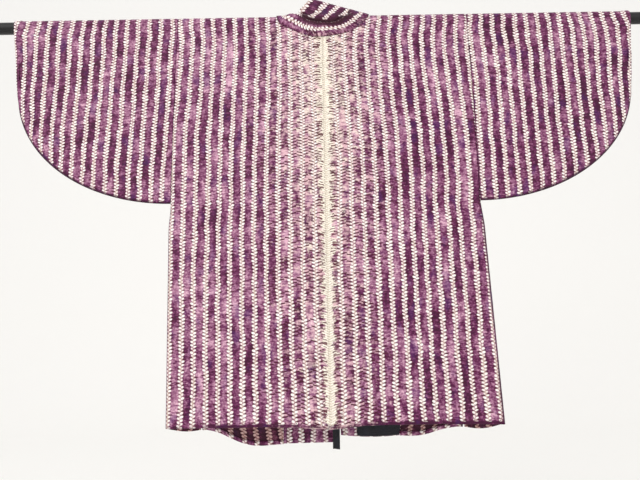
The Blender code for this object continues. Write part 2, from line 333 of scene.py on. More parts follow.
class Silk(Finish):
    """The coat's silk: a finish that knows its place in the pattern."""

    def __init__(self):
        super().__init__("tie_dyed_silk", Roughness=0.62, Sheen_Weight=0.03, Sheen_Roughness=0.4, IOR=1.32)
        self.stripe, self.dot, self.seam_mm = self.attribute("cut")
        # The dye attribute holds the pale ground, the tone and the leaf; its tone and leaf also carry
        # painted shade at edges, seams and the collar's crease.
        self.pale, self.tone, self.leaf = self.attribute("dye")
        self.inside_out, self.plain, self.sewn = self.attribute("side")
        self.band = self.stripe.round()
        self.across = (self.stripe - self.band) * STRIPE_MM
        self.patterned = 1.0 - self.plain

    def speckle(self, across_mm, along_mm, seed, detail=2.0, roughness=0.5, sort=0.0):
        """Noise whose spots are about so many millimetres across and along the cloth."""
        over = self.stripe * (STRIPE_MM / across_mm) + sort
        up = self.dot * (DOT_MM / along_mm)
        return self.noise(self.place(over, up, seed), 1.0, detail, roughness)

    def luck(self, first, second, seed):
        return self.chance(self.place(first, second, seed))


silk = Silk()
fine = silk.speckle(4.4, 2.8, 2.2, 2.0, 0.6)
wrinkle = silk.speckle(15.0, 3.7, 4.4, 1.0, 0.6).step(0.32, 0.68)
print("a stripe every", STRIPE_MM, "mm, a dot every", DOT_MM, "mm")

# %% [markdown]
# The dye between the stripes is uneven. It has long blotches, a tone of its own for each gap, and
# wrinkles across. Beside the centre seam it hardly took, so a pale ground shows there with hairlines of
# dye. One noise could not do this, because each of these marks has its own size along and across the
# cloth, so they are added one by one.

# %% Dye between the stripes


def dye_between():
    gap = (silk.stripe - 0.5).round()
    blotch = silk.speckle(17.0, 44.0, 1.7, 3.0, 0.6)
    gap_tone = silk.speckle(90.0, 80.0, 9.1, 2.0, 0.5, gap * 5.3)
    spot = silk.speckle(12.0, 13.0, 6.3, 2.0, 0.6)
    depth = (blotch - 0.5) * 0.80 + (gap_tone - 0.5) * 0.90 + (spot - 0.5) * 0.55
    # The wall's inner face is dyed deeper: partly the duller wrong side of the cloth, partly painted shade
    # inside the coat.
    depth = depth + (wrinkle - 0.5) * 0.16 + (fine - 0.5) * 0.80 + silk.tone - silk.inside_out * 0.22
    dye = silk.ramp(depth + 0.5, [(0.24, DYE_DEEP), (0.43, DYE_PURPLE), (0.63, DYE_LILAC), (0.88, DYE_PALE)])
    violet = silk.speckle(26.0, 36.0, 21.0).step(0.53, 0.68)
    dye = silk.blend(violet * 0.34, dye, DYE_VIOLET)
    # Painted shade: where the leaf number is below 0 the colour goes towards the dark crease shade.
    in_crease = (silk.leaf * -1.0).top(0.0)  # the collar marks its crease with a leaf below 0
    return silk.blend(in_crease * 0.85, dye, CREASE_SHADE)


def pale_ground(dye):
    """The ground beside the centre seam, over the dye."""
    pale = silk.pale
    cloudy = (silk.speckle(14.0, 22.0, 33.0, 3.0) + pale * 0.5).step(0.78, 0.98)
    ground = silk.blend(cloudy, GROUND_PINK, GROUND_CREAM)
    taken = silk.speckle(11.0, 17.0, 14.0, 3.0, 0.65)
    bare = pale + (taken - 0.5) * 2.2 * pale.step(0.0, 0.2) + (wrinkle - 0.5) * 0.4 * pale.step(0.0, 0.3)
    dye = silk.blend(bare.step(0.30, 1.05) * 0.90, dye, ground)
    hairline = silk.speckle(8.0, 1.7, 51.0, 2.0, 0.6).step(0.54, 0.64) * pale.step(0.0, 0.35)
    return silk.blend(hairline * 0.42, dye, DYE_PURPLE)


dyed = pale_ground(dye_between())
print("nodes with the dye:", len(silk.tree.nodes))

# %% [markdown]
# A stripe is two columns of slanted dots, the second half a dot lower. Chance moves and sizes each dot a
# little, as the binder's hand did. Dye creeps in between two dots as a dark tick, and longer ticks run
# out into the pale ground. Inside the stripe the ground is half dyed, with yellowish thread marks down
# its middle.

# %% Dots and ticks
COLUMN_MM = 2.55  # from the middle of a stripe to each of its columns
DOT_SLANT = 0.24


def dots_and_ticks():
    dot, band, pale = silk.dot, silk.band, silk.pale
    size = 0.66 + 0.68 * silk.speckle(60.0, 30.0, 17.0)
    longer = pale.step(0.05, 0.45)
    dots = ticks = rims = 0.0
    for side, stagger in ((-1.0, 0.0), (1.0, 0.5)):
        column = band * 2.0 + side
        row = (dot - stagger).round()
        luck = silk.luck(column, row, 5.0)
        more_luck = silk.luck(column, row, 7.0)
        out = silk.across * side - COLUMN_MM - (luck - 0.5) * 0.7
        along = (dot - stagger - row) * DOT_MM + (more_luck - 0.5) * 1.2 - out * DOT_SLANT
        reach = (1.95 + luck * 1.5) * size
        away = (out / reach) ** 2.0 + (along / (1.70 + more_luck * 1.0)) ** 2.0
        dots = away.step(1.30, 0.65).top(dots)
        rims = (away.step(1.25, 0.2) * (0.45 + 0.55 * luck)).top(rims)
        nook = (dot - stagger - 0.5).round()
        chance = silk.luck(column, nook, 8.0)
        beside = abs((dot - stagger - 0.5 - nook) * DOT_MM - out * (0.10 + pale * 0.25))
        length = 2.0 + 5.0 * chance * chance + longer * chance.step(0.35, 0.75) * 6.5
        tick = beside.step(1.50, 0.60) * out.step(-1.4, 0.2) * (out - length).step(0.6, -1.2)
        ticks = (tick * (0.34 + 0.62 * chance.step(0.2, 0.7) + longer * 0.15)).top(ticks)
    return dots * silk.patterned, ticks * silk.patterned, rims


dots, ticks, rims = dots_and_ticks()
inside = abs(silk.across).step(4.4, 2.4) * silk.patterned
yellow = abs(silk.across).step(2.2, 0.4) * silk.speckle(12.0, 16.0, 40.0).step(0.36, 0.56)
striped = silk.blend(inside * 0.88, dyed, silk.blend(yellow * 0.85, BETWEEN_DOTS, THREAD_YELLOW))
striped = silk.blend(ticks.least(1.0), striped, DYE_MAROON)
striped = silk.blend(dots, striped, silk.blend(rims, DOT_PINK, DOT_CREAM))
print("nodes with the dots:", len(silk.tree.nodes))

# %% [markdown]
# The halves of the back meet in a pale leaf of slanted grains. Long brown strokes start beside it on
# both sides, each with its own start, length and thickness. A blind stitch of small picks holds the
# hems, the cuffs and the collar. Both are drawn on the cloth and also pressed into its relief, because a
# raking light shows them.

# %% Leaf, strokes and stitches
GRAIN_MM = 4.2
LEAF_SLANT = 0.42


def leaf_and_strokes(cloth):
    from_seam = abs(silk.seam_mm)
    slanted = silk.dot * DOT_MM - from_seam * LEAF_SLANT + (silk.speckle(9.0, 6.0, 61.0) - 0.5) * 3.0
    stroke = (slanted + from_seam * 0.24 + (silk.speckle(30.0, 26.0, 66.0) - 0.5) * 9.0) / VEIN_MM
    number = stroke.round()
    right_side = (silk.seam_mm > 0.0) * 1.0
    luck = silk.luck(number, right_side, 3.0)
    size = silk.luck(number, right_side, 9.0)
    grain_line = abs(slanted / GRAIN_MM - (slanted / GRAIN_MM).round()).step(0.22, 0.40)
    warm = silk.pale.step(0.30, 0.85) * 0.7 + silk.speckle(7.0, 9.0, 71.0) * 0.5
    leaf = silk.blend(warm, DOT_CREAM, LEAF_CREAM)
    leaf = silk.blend(grain_line * 0.50 + from_seam.step(0.9, 0.2) * 0.25, leaf, VEE_LINE)
    leaf_mask = (silk.leaf + (luck - 0.5) * 0.50 + (fine - 0.5) * 1.1).step(0.38, 0.60)
    cloth = silk.blend(leaf_mask * 0.94, cloth, leaf)
    start = 4.5 + 5.5 * silk.luck(number, right_side, 15.0)
    end = start + 6.0 + 7.0 * size
    taper = 1.0 - (from_seam - start) / (end - start) * 0.6
    thick = (0.17 + 0.30 * size * size) * taper
    off_line = abs(stroke - number) / thick + (fine - 0.5) * 1.2
    drawn = off_line.step(1.20, 0.70) * luck.step(0.22, 0.30) * silk.pale.step(0.30, 0.75)
    drawn = drawn * (from_seam - start).step(-0.8, 0.6) * (from_seam - end).step(1.0, -1.0)
    return silk.blend(drawn * 0.92, cloth, STROKE_BROWN), drawn


def stitches():
    """Picks along a line: sewn is 1 where they follow the dots and -1 where they cross the stripes."""
    along_hem = (silk.sewn < 0.0) * 1.0
    run = (silk.dot * DOT_MM * (1.0 - along_hem) + silk.stripe * STRIPE_MM * along_hem) / STITCH_MM
    return abs(silk.sewn).step(0.62, 0.88) * abs(run - run.round()).step(0.14, 0.09)


cloth_colour, strokes = leaf_and_strokes(striped)
picks = stitches()
cloth_colour = silk.blend(picks * 0.85, cloth_colour, DYE_MAROON)
# The inner face is multiplied by a dull pink: partly the wrong side's duller colour, partly painted shade
# inside the coat.
silk.paint("Base Color", silk.tint(silk.inside_out, cloth_colour, INSIDE_SHADE_AND_DULL))
silk.paint("Roughness", 0.56 + dots * 0.10 + (fine - 0.5) * 0.2)

# Relief: domed dots, pinched ticks, fine cross wrinkles and the crepe's grain
grain = silk.noise(silk.place(silk.stripe * 60.0, silk.dot * 17.0, 0.0), 1.0, 1.0)
pinched = ticks + strokes + picks
silk.bump(dots * 0.55 + rims * 0.45 - pinched * 0.6 + wrinkle * 0.45 + fine * 0.4 + grain * 0.12, 0.0010)
print("silk nodes:", len(silk.tree.nodes))

# %% [markdown]
# ## Laying cloth
# A sheet starts as a flat grid, one crossing for each column of dots and each half dot along it, as it
# was cut. The crossings are then moved on to the coat's form. Cloth simulation could hang it too, but
# the coat was smoothed flat by hand on the rod, and its few creases are in known places, so they are
# laid one by one here.

# %% Values of the cut and the form
CLOTH_WALL = 0.0009
DOT_STEP = 0.00315
DOT_RISE = 0.0006
PUCKER = 0.00055
PUCKER_SIZES = (0.019, 0.0083, 0.0051)
SWAY = 0.0019
SWAY_SIZES = (0.062, 0.028, 0.015)
SEAM_TUCK = 0.0012
CENTRE_TUCK = 0.0009
FOLD_RADIUS = 0.0134
FOLD_LENGTH = math.pi * FOLD_RADIUS
HALF_BACK = 0.300
BACK_DROP = 0.800
BACK_BELLY = 0.0166
NECK_DEPTH = 0.032
NECK_HALF_WIDTH = 0.089
NECK_ROUNDNESS = 1.3
SEAM_NECK_X = 0.092
FRONT_STAND_OFF = 0.0526
FRONT_WAVE = 0.005
UNDERARM_DROP = 0.3905
PINCH = 0.0016
BULGE = 2.2
HALVES = {
    "left": dict(side=-1, back_hem_x=0.286, front_hem_x=0.232, seam_hem_x=0.087, front_drop=0.8415,
                 lift=0.030, lift_from=0.36, cuff_foot_x=0.6215, sleeve_drop=0.3870,
                 first=0.0005, pitch=0.0226, sleeve_first=0.011, sleeve_pitch=0.0230,
                 tone=0.02, sleeve_tone=-0.035, pale_to=0.097, seed=3.0, edge=0.0018, gusset_dip=0.004,
                 hem_rise=(-1.0, 2.5, 3.3, 1.2, 0.0), tones=(0.0, 0.02, -0.03, 0.0, 0.06),
                 lean_in=(-0.5, -2.5, -4.0, -2.0, -2.0, -2.5, -4.0, -7.5),
                 lean_out=(-5.0, -1.0, 4.0, 3.5, 1.5, 2.5, 1.5, 2.5),
                 sleeve_lean_in=(-2.0, -0.5, 0.0, 0.5, 2.0, 6.0),
                 sleeve_lean_out=(6.5, 4.5, 6.5, 10.0, 14.0, 17.0)),
    "right": dict(side=1, back_hem_x=0.305, front_hem_x=0.246, seam_hem_x=0.132, front_drop=0.8295,
                  lift=0.016, lift_from=0.15, cuff_foot_x=0.6265, sleeve_drop=0.3905,
                  first=0.0041, pitch=0.0228, sleeve_first=0.008, sleeve_pitch=0.0227,
                  tone=0.01, sleeve_tone=-0.06, pale_to=0.092, seed=11.0, edge=0.0038, gusset_dip=0.006,
                  hem_rise=(-1.0, 4.0, 3.5, 1.0, -2.0), tones=(0.0, 0.05, 0.02, -0.05, 0.0),
                  lean_in=(-7.0, -5.0, -1.5, 0.5, -2.0, -2.0, -2.0, -3.5),
                  lean_out=(-5.5, -1.0, 4.0, 5.5, -1.0, -3.5, -6.0, -5.5),
                  sleeve_lean_in=(-4.5, -2.0, 0.0, -0.5, -1.5, -1.5),
                  sleeve_lean_out=(8.0, 8.0, 5.0, 6.5, 9.5, 16.0)),
}
# hem_rise and tones are set across a half at ACROSS_PLACES. The stripes also lean: they stand some
# millimetres further out than the ruled cut, by lean_in at the seam or armhole and lean_out at the side
# or cuff, at these drops.
ACROSS_PLACES = (0.0, 0.06, 0.12, 0.20, 0.30)
LEAN_DROPS = (0.08, 0.17, 0.25, 0.35, 0.45, 0.58, 0.67, 0.77)
SLEEVE_LEAN_DROPS = (0.03, 0.08, 0.13, 0.18, 0.24, 0.32)


def mix(a, b, t):
    return a + (b - a) * t


def smooth(t):
    t = np.clip(t, 0.0, 1.0)
    return t * t * (3 - 2 * t)


def shut(t):
    """Half the gap between the cloth's layers, from the rod at t = 0 to the closed edge at t = 1."""
    return PINCH + (FOLD_RADIUS - PINCH) * (1 - np.clip(t, 0.0, 1.0) ** BULGE)


def waves(across, along, seed, sizes=(0.11, 0.047, 0.021)):
    """Soft uneven relief between about -1 and 1 from a few crossing waves."""
    total = 0.0
    for n, size in enumerate(sizes):
        a = seed * (1.7 + n)
        bent = 1.3 * np.sin(along * math.tau / (3.1 * size) + a)
        ridge = np.sin(across * math.tau / size + a + bent)
        total = total + ridge * np.cos(along * math.tau / (2.3 * size) + 2.1 * a) / (n + 1)
    return total / 1.8


print("way over the rod:", round(FOLD_LENGTH, 4))
print("half the gap at the rod:", float(shut(0.0)), "and at a closed edge:", float(shut(1.0)))

# %% [markdown]
# Every piece goes through the same steps. A flat grid is moved to its places, carries its numbers for
# the silk, and gets a wall with a right and a wrong side. A sheet with no wall would vanish when it is
# seen edge on.

# %% Helpers that lay a sheet


def flat_grid(name, columns, rows):
    """The flat cut: a grid whose crossings are in rows, each row from one side to the other."""
    deselect_all()
    bpy.ops.mesh.primitive_grid_add(x_subdivisions=columns, y_subdivisions=rows, size=1.0)
    cloth = bpy.context.object
    cloth.name = cloth.data.name = name
    return cloth


def outward(places, sign):
    """The way off the cloth's right side at each crossing."""
    along = np.gradient(places, axis=0)
    across = np.gradient(places, axis=1)
    way = np.cross(across, along) * sign
    length = np.linalg.norm(way, axis=2, keepdims=True)
    return way / np.maximum(length, 1e-12)


def carry(cloth, name, values):
    """Store three numbers at each crossing for the material."""
    layer = cloth.data.attributes.new(name, "FLOAT_VECTOR", "POINT")
    layer.data.foreach_set("vector", np.ascontiguousarray(values, dtype=np.float32).ravel())


def lean(inner, outer, drops, share, drop):
    """How far the stripes lean outwards, in metres."""
    return mix(np.interp(drop, drops, inner), np.interp(drop, drops, outer), share) / 1000


def mark_inside(cloth, count, facing_out):
    """Write 1 on the wall's inner face, into the first number of the side attribute."""
    total = len(cloth.data.vertices)
    co = np.empty(total * 3)
    cloth.data.vertices.foreach_get("co", co)
    co = co.reshape(total, 3)
    first_is_outer = float(((co[:count] - co[count:2 * count]) * facing_out).sum()) > 0
    side = np.empty(total * 3, dtype=np.float32)
    layer = cloth.data.attributes["side"]
    layer.data.foreach_get("vector", side)
    side = side.reshape(total, 3)
    side[:count, 0] = 0.0 if first_is_outer else 1.0
    side[count:, 0] = 1.0 if first_is_outer else 0.0
    layer.data.foreach_set("vector", side.ravel())


def wall_and_finish(cloth, sign, wall, material, double):
    """Join what meets, give the sheet its wall and its material, and mark the wall's inner face."""
    bpy.ops.object.mode_set(mode="EDIT")
    bpy.ops.mesh.select_all(action="SELECT")
    bpy.ops.mesh.remove_doubles(threshold=0.00005)
    if sign < 0:
        bpy.ops.mesh.flip_normals()
    bpy.ops.object.mode_set(mode="OBJECT")
    count = len(cloth.data.vertices)
    facing_out = np.empty(count * 3, dtype=np.float32)
    cloth.data.vertex_normals.foreach_get("vector", facing_out)
    thick = cloth.modifiers.new("wall", "SOLIDIFY")
    thick.thickness = wall
    thick.offset = 0.0
    bpy.ops.object.modifier_apply(modifier="wall")
    if not double:
        mark_inside(cloth, count, facing_out.reshape(count, 3))
    bpy.ops.object.shade_smooth()
    cloth.data.materials.clear()
    cloth.data.materials.append(material)


def sew(name, places, cut, dye, sign, wall=CLOTH_WALL, material=silk.material, plain=None, stitch=None,
        double=False):
    """A finished piece: a flat grid moved to its places, with its numbers for the material and its wall."""
    rows, columns = cut.shape[:2]
    cloth = flat_grid(name, columns - 1, rows - 1)
    cloth.data.vertices.foreach_set("co", np.ascontiguousarray(places, dtype=np.float32).ravel())
    nothing = 0 * cut[..., 0]
    carry(cloth, "cut", cut)
    carry(cloth, "dye", dye)
    carry(cloth, "side", np.stack((nothing, nothing if plain is None else plain,
                                   nothing if stitch is None else stitch), axis=2))
    cloth.data.update()
    wall_and_finish(cloth, sign, wall, material, double)
    print(name, "has", sum(len(f.vertices) - 2 for f in cloth.data.polygons), "triangles")
    return cloth


def hand_over(cloth, node, slot, **how_cut):
    """Attach the piece to the root and hide the solid that it stands for. The slot and how_cut are not used.
    """
    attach(cloth, "root")
    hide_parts(node)


# %% [markdown]
# ## Body
# Each half of the body is one length of cloth. It runs from the back hem up over the rod and down to the
# front hem, and a centre seam joins the two at the back. It could be two panels with a shoulder seam,
# but a coat of this kind has none. The neckline and the collar's slanting seam are cut by moving the
# crossings that would lie beyond them on to the cut line, where they join into one edge.

# %% Body form
SIDE_SWELL = 0.0032  # below the armhole the soft side edge stands out a little


def back_y(x, z):
    towards_side = (1 - np.cos(math.pi * np.clip(np.abs(x) / HALF_BACK, 0.0, 1.0))) / 2
    middle = FOLD_RADIUS + BACK_BELLY * (np.maximum(-z, 0.0) / BACK_DROP) ** 1.2
    return -mix(middle, shut(-z / UNDERARM_DROP), towards_side)


def back_outer_x(half, z):
    below = np.maximum(-z - UNDERARM_DROP, 0.0) / (BACK_DROP - UNDERARM_DROP)
    swell = SIDE_SWELL * smooth((-z - UNDERARM_DROP - 0.004) / 0.05)
    return mix(HALF_BACK - 0.0002, half["back_hem_x"], below) + swell


def front_outer_x(half, z):
    below = np.clip((-z - UNDERARM_DROP) / (half["front_drop"] - UNDERARM_DROP), 0.0, 1.0)
    return mix(HALF_BACK - 0.0002, half["front_hem_x"], below)


def front_seam_x(half, z):
    return mix(SEAM_NECK_X, half["seam_hem_x"], np.clip(-z / half["front_drop"], 0.0, 1.0))


def front_side_y(half, z):
    below = np.clip((-z - UNDERARM_DROP) / (half["front_drop"] - UNDERARM_DROP), 0.0, 1.0)
    return np.where(-z <= UNDERARM_DROP, shut(-z / UNDERARM_DROP), PINCH + FRONT_STAND_OFF * below ** 0.8)


def front_middle_y(half, z):
    return FOLD_RADIUS + FRONT_STAND_OFF * np.maximum(-z, 0.0) / half["front_drop"]


def front_y(half, across, z):
    wave = FRONT_WAVE * np.sin(math.tau * across) * np.maximum(-z, 0.0) / half["front_drop"]
    return mix(front_middle_y(half, z), front_side_y(half, z), smooth(across)) - wave


def neckline_x(height):
    rise = (height + NECK_DEPTH) / (NECK_DEPTH + FOLD_LENGTH / 2)
    return NECK_HALF_WIDTH * np.clip(rise, 0.0, 1.0) ** (1 / NECK_ROUNDNESS)


def front_hem_z(half, across):
    rise = smooth((across - half["lift_from"]) / (1 - half["lift_from"]))
    return -half["front_drop"] + half["lift"] * rise


print("half width at the back hem:", {name: round(float(back_outer_x(half, -BACK_DROP)), 4)
                                      for name, half in HALVES.items()})

# %% [markdown]
# A coat on a rod has a few long soft creases. A simulation would put them anywhere, so they are laid
# one by one, as troughs with a soft ridge on each side, deepest part of the way down.

# %% Creases of the body, laid one by one
# x at the rod, x at the hem, depth into the coat, half width, where it starts and where it is deepest,
# as drops
BACK_CREASES = (
    (-0.235, -0.205, 0.0034, 0.016, 0.05, 0.42),
    (-0.128, -0.112, 0.0028, 0.020, 0.18, 0.66),
    (-0.052, -0.060, 0.0018, 0.015, 0.30, 0.78),
    (0.094, 0.086, 0.0030, 0.020, 0.10, 0.58),
    (0.182, 0.196, 0.0032, 0.018, 0.22, 0.72),
    (0.252, 0.268, 0.0030, 0.014, 0.06, 0.46),
)
FRONT_CREASES = (
    (-0.205, -0.180, 0.0036, 0.018, 0.12, 0.60),
    (-0.140, -0.128, 0.0026, 0.016, 0.20, 0.74),
    (0.150, 0.178, 0.0032, 0.018, 0.10, 0.66),
    (0.232, 0.222, 0.0028, 0.014, 0.20, 0.50),
)


def crease_depth(creases, x, z):
    """How far the creases press the cloth inwards, with a softer ridge beside each trough."""
    drop = np.maximum(-z, 0.0)
    total = np.zeros_like(x)
    for top_x, hem_x, depth, width, start, deepest in creases:
        middle = mix(top_x, hem_x, drop / BACK_DROP) + 0.004 * np.sin(drop * 17.0 + top_x * 40.0)
        away = (x - middle) / width
        strength = smooth((drop - start) / (deepest - start)) * (1 - 0.45 * smooth((drop - deepest) / 0.3))
        trough = np.exp(-away**2) - 0.45 * np.exp(-((away - 1.9) ** 2)) - 0.3 * np.exp(-((away + 2.0) ** 2))
        total = total + depth * strength * trough
    return total


print("creases:", len(BACK_CREASES), "on the back and", len(FRONT_CREASES), "on the fronts")

# %% [markdown]
# The grid's crossings have to fall on the bound dots, or the relief and the colour would not meet. So
# the columns follow the stripes, eight to each, and the rows lie half a dot apart.

# %% Columns and dots


def stripe_columns(width, first, pitch):
    """Places across the cut: eight to a stripe, so that dots fall on them, and both edges."""
    step = pitch / 8
    inside = first % step + step * np.arange(int(width / step) + 1)
    inside = inside[(inside > 0.2 * step) & (inside < width - 0.2 * step)]
    return np.concatenate(([0.0], inside, [width]))


def dot_rise(stripe, dot):
    """1 on the crossings that are dots: one column of each stripe on whole rows, the other on half rows."""
    column = np.round((stripe - np.round(stripe)) * 8).astype(int)
    row = np.round(dot * 2).astype(int)
    return ((column == -1) & (row % 2 == 0)) | ((column == 1) & (row % 2 == 1))


print("columns over a half back:", {name: len(stripe_columns(HALF_BACK, half["first"], half["pitch"]))
                                    for name, half in HALVES.items()})

# %% [markdown]
# A crossing's place follows from its way across, u, and its way along, h, which is 0 where the cloth
# leaves the back and climbs on to the rod. Back, turn over the rod and front each have their own rule.

# %% Places of the body
SOFT_BEND = 0.09  # length over which the front stripes bend below the armhole


def body_places(half, u, h, sway):
    """Each crossing on the back, over the rod or on the front, with what the dye needs to know of it."""
    side = half["side"]
    back_x = (u + sway) / HALF_BACK * back_outer_x(half, h)
    back_x = np.where(h > -NECK_DEPTH, np.maximum(back_x, neckline_x(h)), back_x)
    t = np.clip((h + BACK_DROP) / (BACK_DROP - NECK_DEPTH), 0.0, 1.0)
    back_z = h + np.interp(u, ACROSS_PLACES, half["hem_rise"]) / 1000 * (1 - t) ** 2
    back = np.stack((side * back_x, back_y(back_x, back_z), back_z), axis=2)

    turn = np.clip(h / FOLD_RADIUS, 0.0, math.pi)
    in_front = mix(NECK_HALF_WIDTH, SEAM_NECK_X, 2 * turn / math.pi - 1)
    over_x = np.maximum(u + sway, np.where(turn < math.pi / 2, neckline_x(h), in_front))
    over = np.stack((side * over_x, -FOLD_RADIUS * np.cos(turn), FOLD_RADIUS * np.sin(turn)), axis=2)

    z0 = -np.clip(h - FOLD_LENGTH, 0.0, None)
    front_z = z0
    for _ in range(2):  # the hem's rise depends on x and the seam's x on z, so they are settled in turn
        outer = front_outer_x(half, front_z)
        seam = front_seam_x(half, front_z)
        front_x = np.maximum(outer - (HALF_BACK - u - sway), seam)
        share = (front_x - seam) / (outer - seam)
        front_z = z0 * front_hem_z(half, share) / -half["front_drop"]
    front = np.stack((side * front_x, front_y(half, share, front_z), front_z), axis=2)

    places = np.where((h <= 0)[..., None], back, np.where((h >= FOLD_LENGTH)[..., None], front, over))
    front_u = np.clip(HALF_BACK - (front_outer_x(half, front_z) - front_x), 0.0, HALF_BACK)
    below = -front_z - UNDERARM_DROP
    slope = (HALF_BACK - half["front_hem_x"]) / (half["front_drop"] - UNDERARM_DROP)
    front_u = front_u + slope * ((below + np.hypot(below, SOFT_BEND)) / 2 - np.maximum(below, 0.0))
    near_neck = np.where(h > 0, over_x, np.where(h > -NECK_DEPTH, back_x, u))
    return places, np.where(h >= FOLD_LENGTH, front_u, near_neck)


print("the neckline at the rod's back side is", round(float(neckline_x(0.0)), 4), "from the centre")

# %% [markdown]
# Tie-dyed silk is never flat. It has soft creases from hanging, small puckers from the binding, and a
# raised dot at each knot, and its seams pull it in a little. All of it moves a crossing along the
# cloth's outward side.

# %% Relief of the body


def body_relief(half, u, h, places, dots):
    """How far each crossing moves outwards: creases, small puckers, dots, and the dip along a seam."""
    x, z = places[..., 0], places[..., 2]
    hang = smooth((-z - 0.02) / 0.08)
    inwards = np.where(h <= 0, crease_depth(BACK_CREASES, x, z), crease_depth(FRONT_CREASES, x, z))
    room = np.clip((HALF_BACK - np.abs(x)) / 0.03, 0.0, 1.0)
    pucker = PUCKER * waves(u, h, half["seed"] + 2.0, PUCKER_SIZES)
    tuck = SEAM_TUCK * np.exp(-(((HALF_BACK - u) / 0.0022) ** 2))
    tuck = tuck + CENTRE_TUCK * np.exp(-((u / 0.0026) ** 2)) * (h <= 0)
    move = -inwards * hang * room + pucker * (0.35 + 0.65 * hang) + DOT_RISE * dots - tuck
    return np.maximum(move, -0.004)


print("a dot rises", round(DOT_RISE * 1000, 2), "mm and a side seam dips", round(SEAM_TUCK * 1000, 2), "mm")

# %% [markdown]
# The material needs numbers, not pictures: the stripe and the dot at each crossing, the distance from
# the leaf of grains, how pale the ground is, and where the cloth is bare of dots. Along a hem none were
# bound.

# %% Dye of the body
HEM_EDGE = 0.0062  # depth of the bare strip along the back hem
LEAF_X = 0.0022  # middle of the slanted grains beside the centre seam
LEAF_WIDTH = 0.0106


def body_dye(half, u, h, z, shown_u, dot):
    """The numbers that the silk reads, and where it has no dots."""
    side = half["side"]
    ruled_u = np.where(h > -NECK_DEPTH, shown_u, u)
    stripe = (ruled_u - half["first"]) / half["pitch"]
    drop = np.maximum(-z, 0.0)
    leaning = lean(half["lean_in"], half["lean_out"], LEAN_DROPS, u / HALF_BACK, drop)
    stripe = stripe - leaning * smooth(drop / 0.05) / half["pitch"]
    from_leaf = side * u - LEAF_X
    cut = np.stack((stripe + 40.0 * side, dot, from_leaf * 1000), axis=2)

    fading = mix(0.98, 0.72, smooth((drop - 0.20) / 0.40))
    pale = np.clip(fading - 0.50 * u / half["pale_to"], 0.0, 1.0) * smooth((0.03 - h) / 0.05)
    ragged = 1 + 0.28 * waves(h * 0.0 + 0.01 * side, h, half["seed"] + 1.0, (0.05, 0.021, 0.009))
    leaf_width = LEAF_WIDTH * ragged * (1 - 0.12 * smooth((-h - 0.35) / 0.3))
    leaf = np.clip(1 - np.abs(from_leaf) / (2 * leaf_width), 0.0, 1.0) * (h <= 0)
    below_armhole = smooth((-z - UNDERARM_DROP) / 0.01)
    side_edge = smooth((u - HALF_BACK + half["edge"]) / 0.0016) * below_armhole
    hem_edge = -h - BACK_DROP + HEM_EDGE + 0.0008 * waves(u, h * 0.0, half["seed"])
    hem_edge = smooth(hem_edge / 0.0012) * (h <= 0)
    # The bare hem and side strips have no dots and a lower tone: partly their own deeper dye, partly painted
    # shade at the edge.
    bare_and_shaded_edge = np.maximum(side_edge, hem_edge * (1 - 0.6 * smooth((u - 0.20) / 0.05) * (side < 0)))
    # Painted shade: a dark line down the body's edge along the armhole seam, where the sleeve meets it.
    armhole_seam_shade = smooth((HALF_BACK - u) / -0.0030 + 1) * (-z <= UNDERARM_DROP)
    tone = half["tone"] + np.interp(u, ACROSS_PLACES, half["tones"]) * (h <= 0)
    dye = np.stack((pale, tone - 0.36 * bare_and_shaded_edge - 0.22 * armhole_seam_shade, leaf * (1 - bare_and_shaded_edge)), axis=2)
    return cut, dye, bare_and_shaded_edge


print("the leaf of grains is about", round(2000 * LEAF_WIDTH), "mm wide")

# %% [markdown]
# A real hem is turned up and stitched. A few more rows beyond each end, bent round to the wrong side,
# give the edge its double thickness; a cut edge would look like paper.

# %% Body halves with turned hems
HEM_TURN = ((0.0005, -0.0005), (0.0017, -0.0002), (0.0019, 0.0035), (0.0019, 0.0075))  # inwards, up


def turned_hem(places, off, end, inner):
    """The rows of a hem's turn, from the edge inwards and up the wrong side."""
    base, normal = places[end], off[end]
    up = places[inner] - base
    up = up / np.linalg.norm(up, axis=1, keepdims=True)
    return [base - normal * inwards + up * rise for inwards, rise in HEM_TURN]


def both_ends(values):
    """The values with their first and last rows repeated for the turned hems."""
    first = np.repeat(values[:1], len(HEM_TURN), axis=0)
    last = np.repeat(values[-1:], len(HEM_TURN), axis=0)
    return np.concatenate((first, values, last))


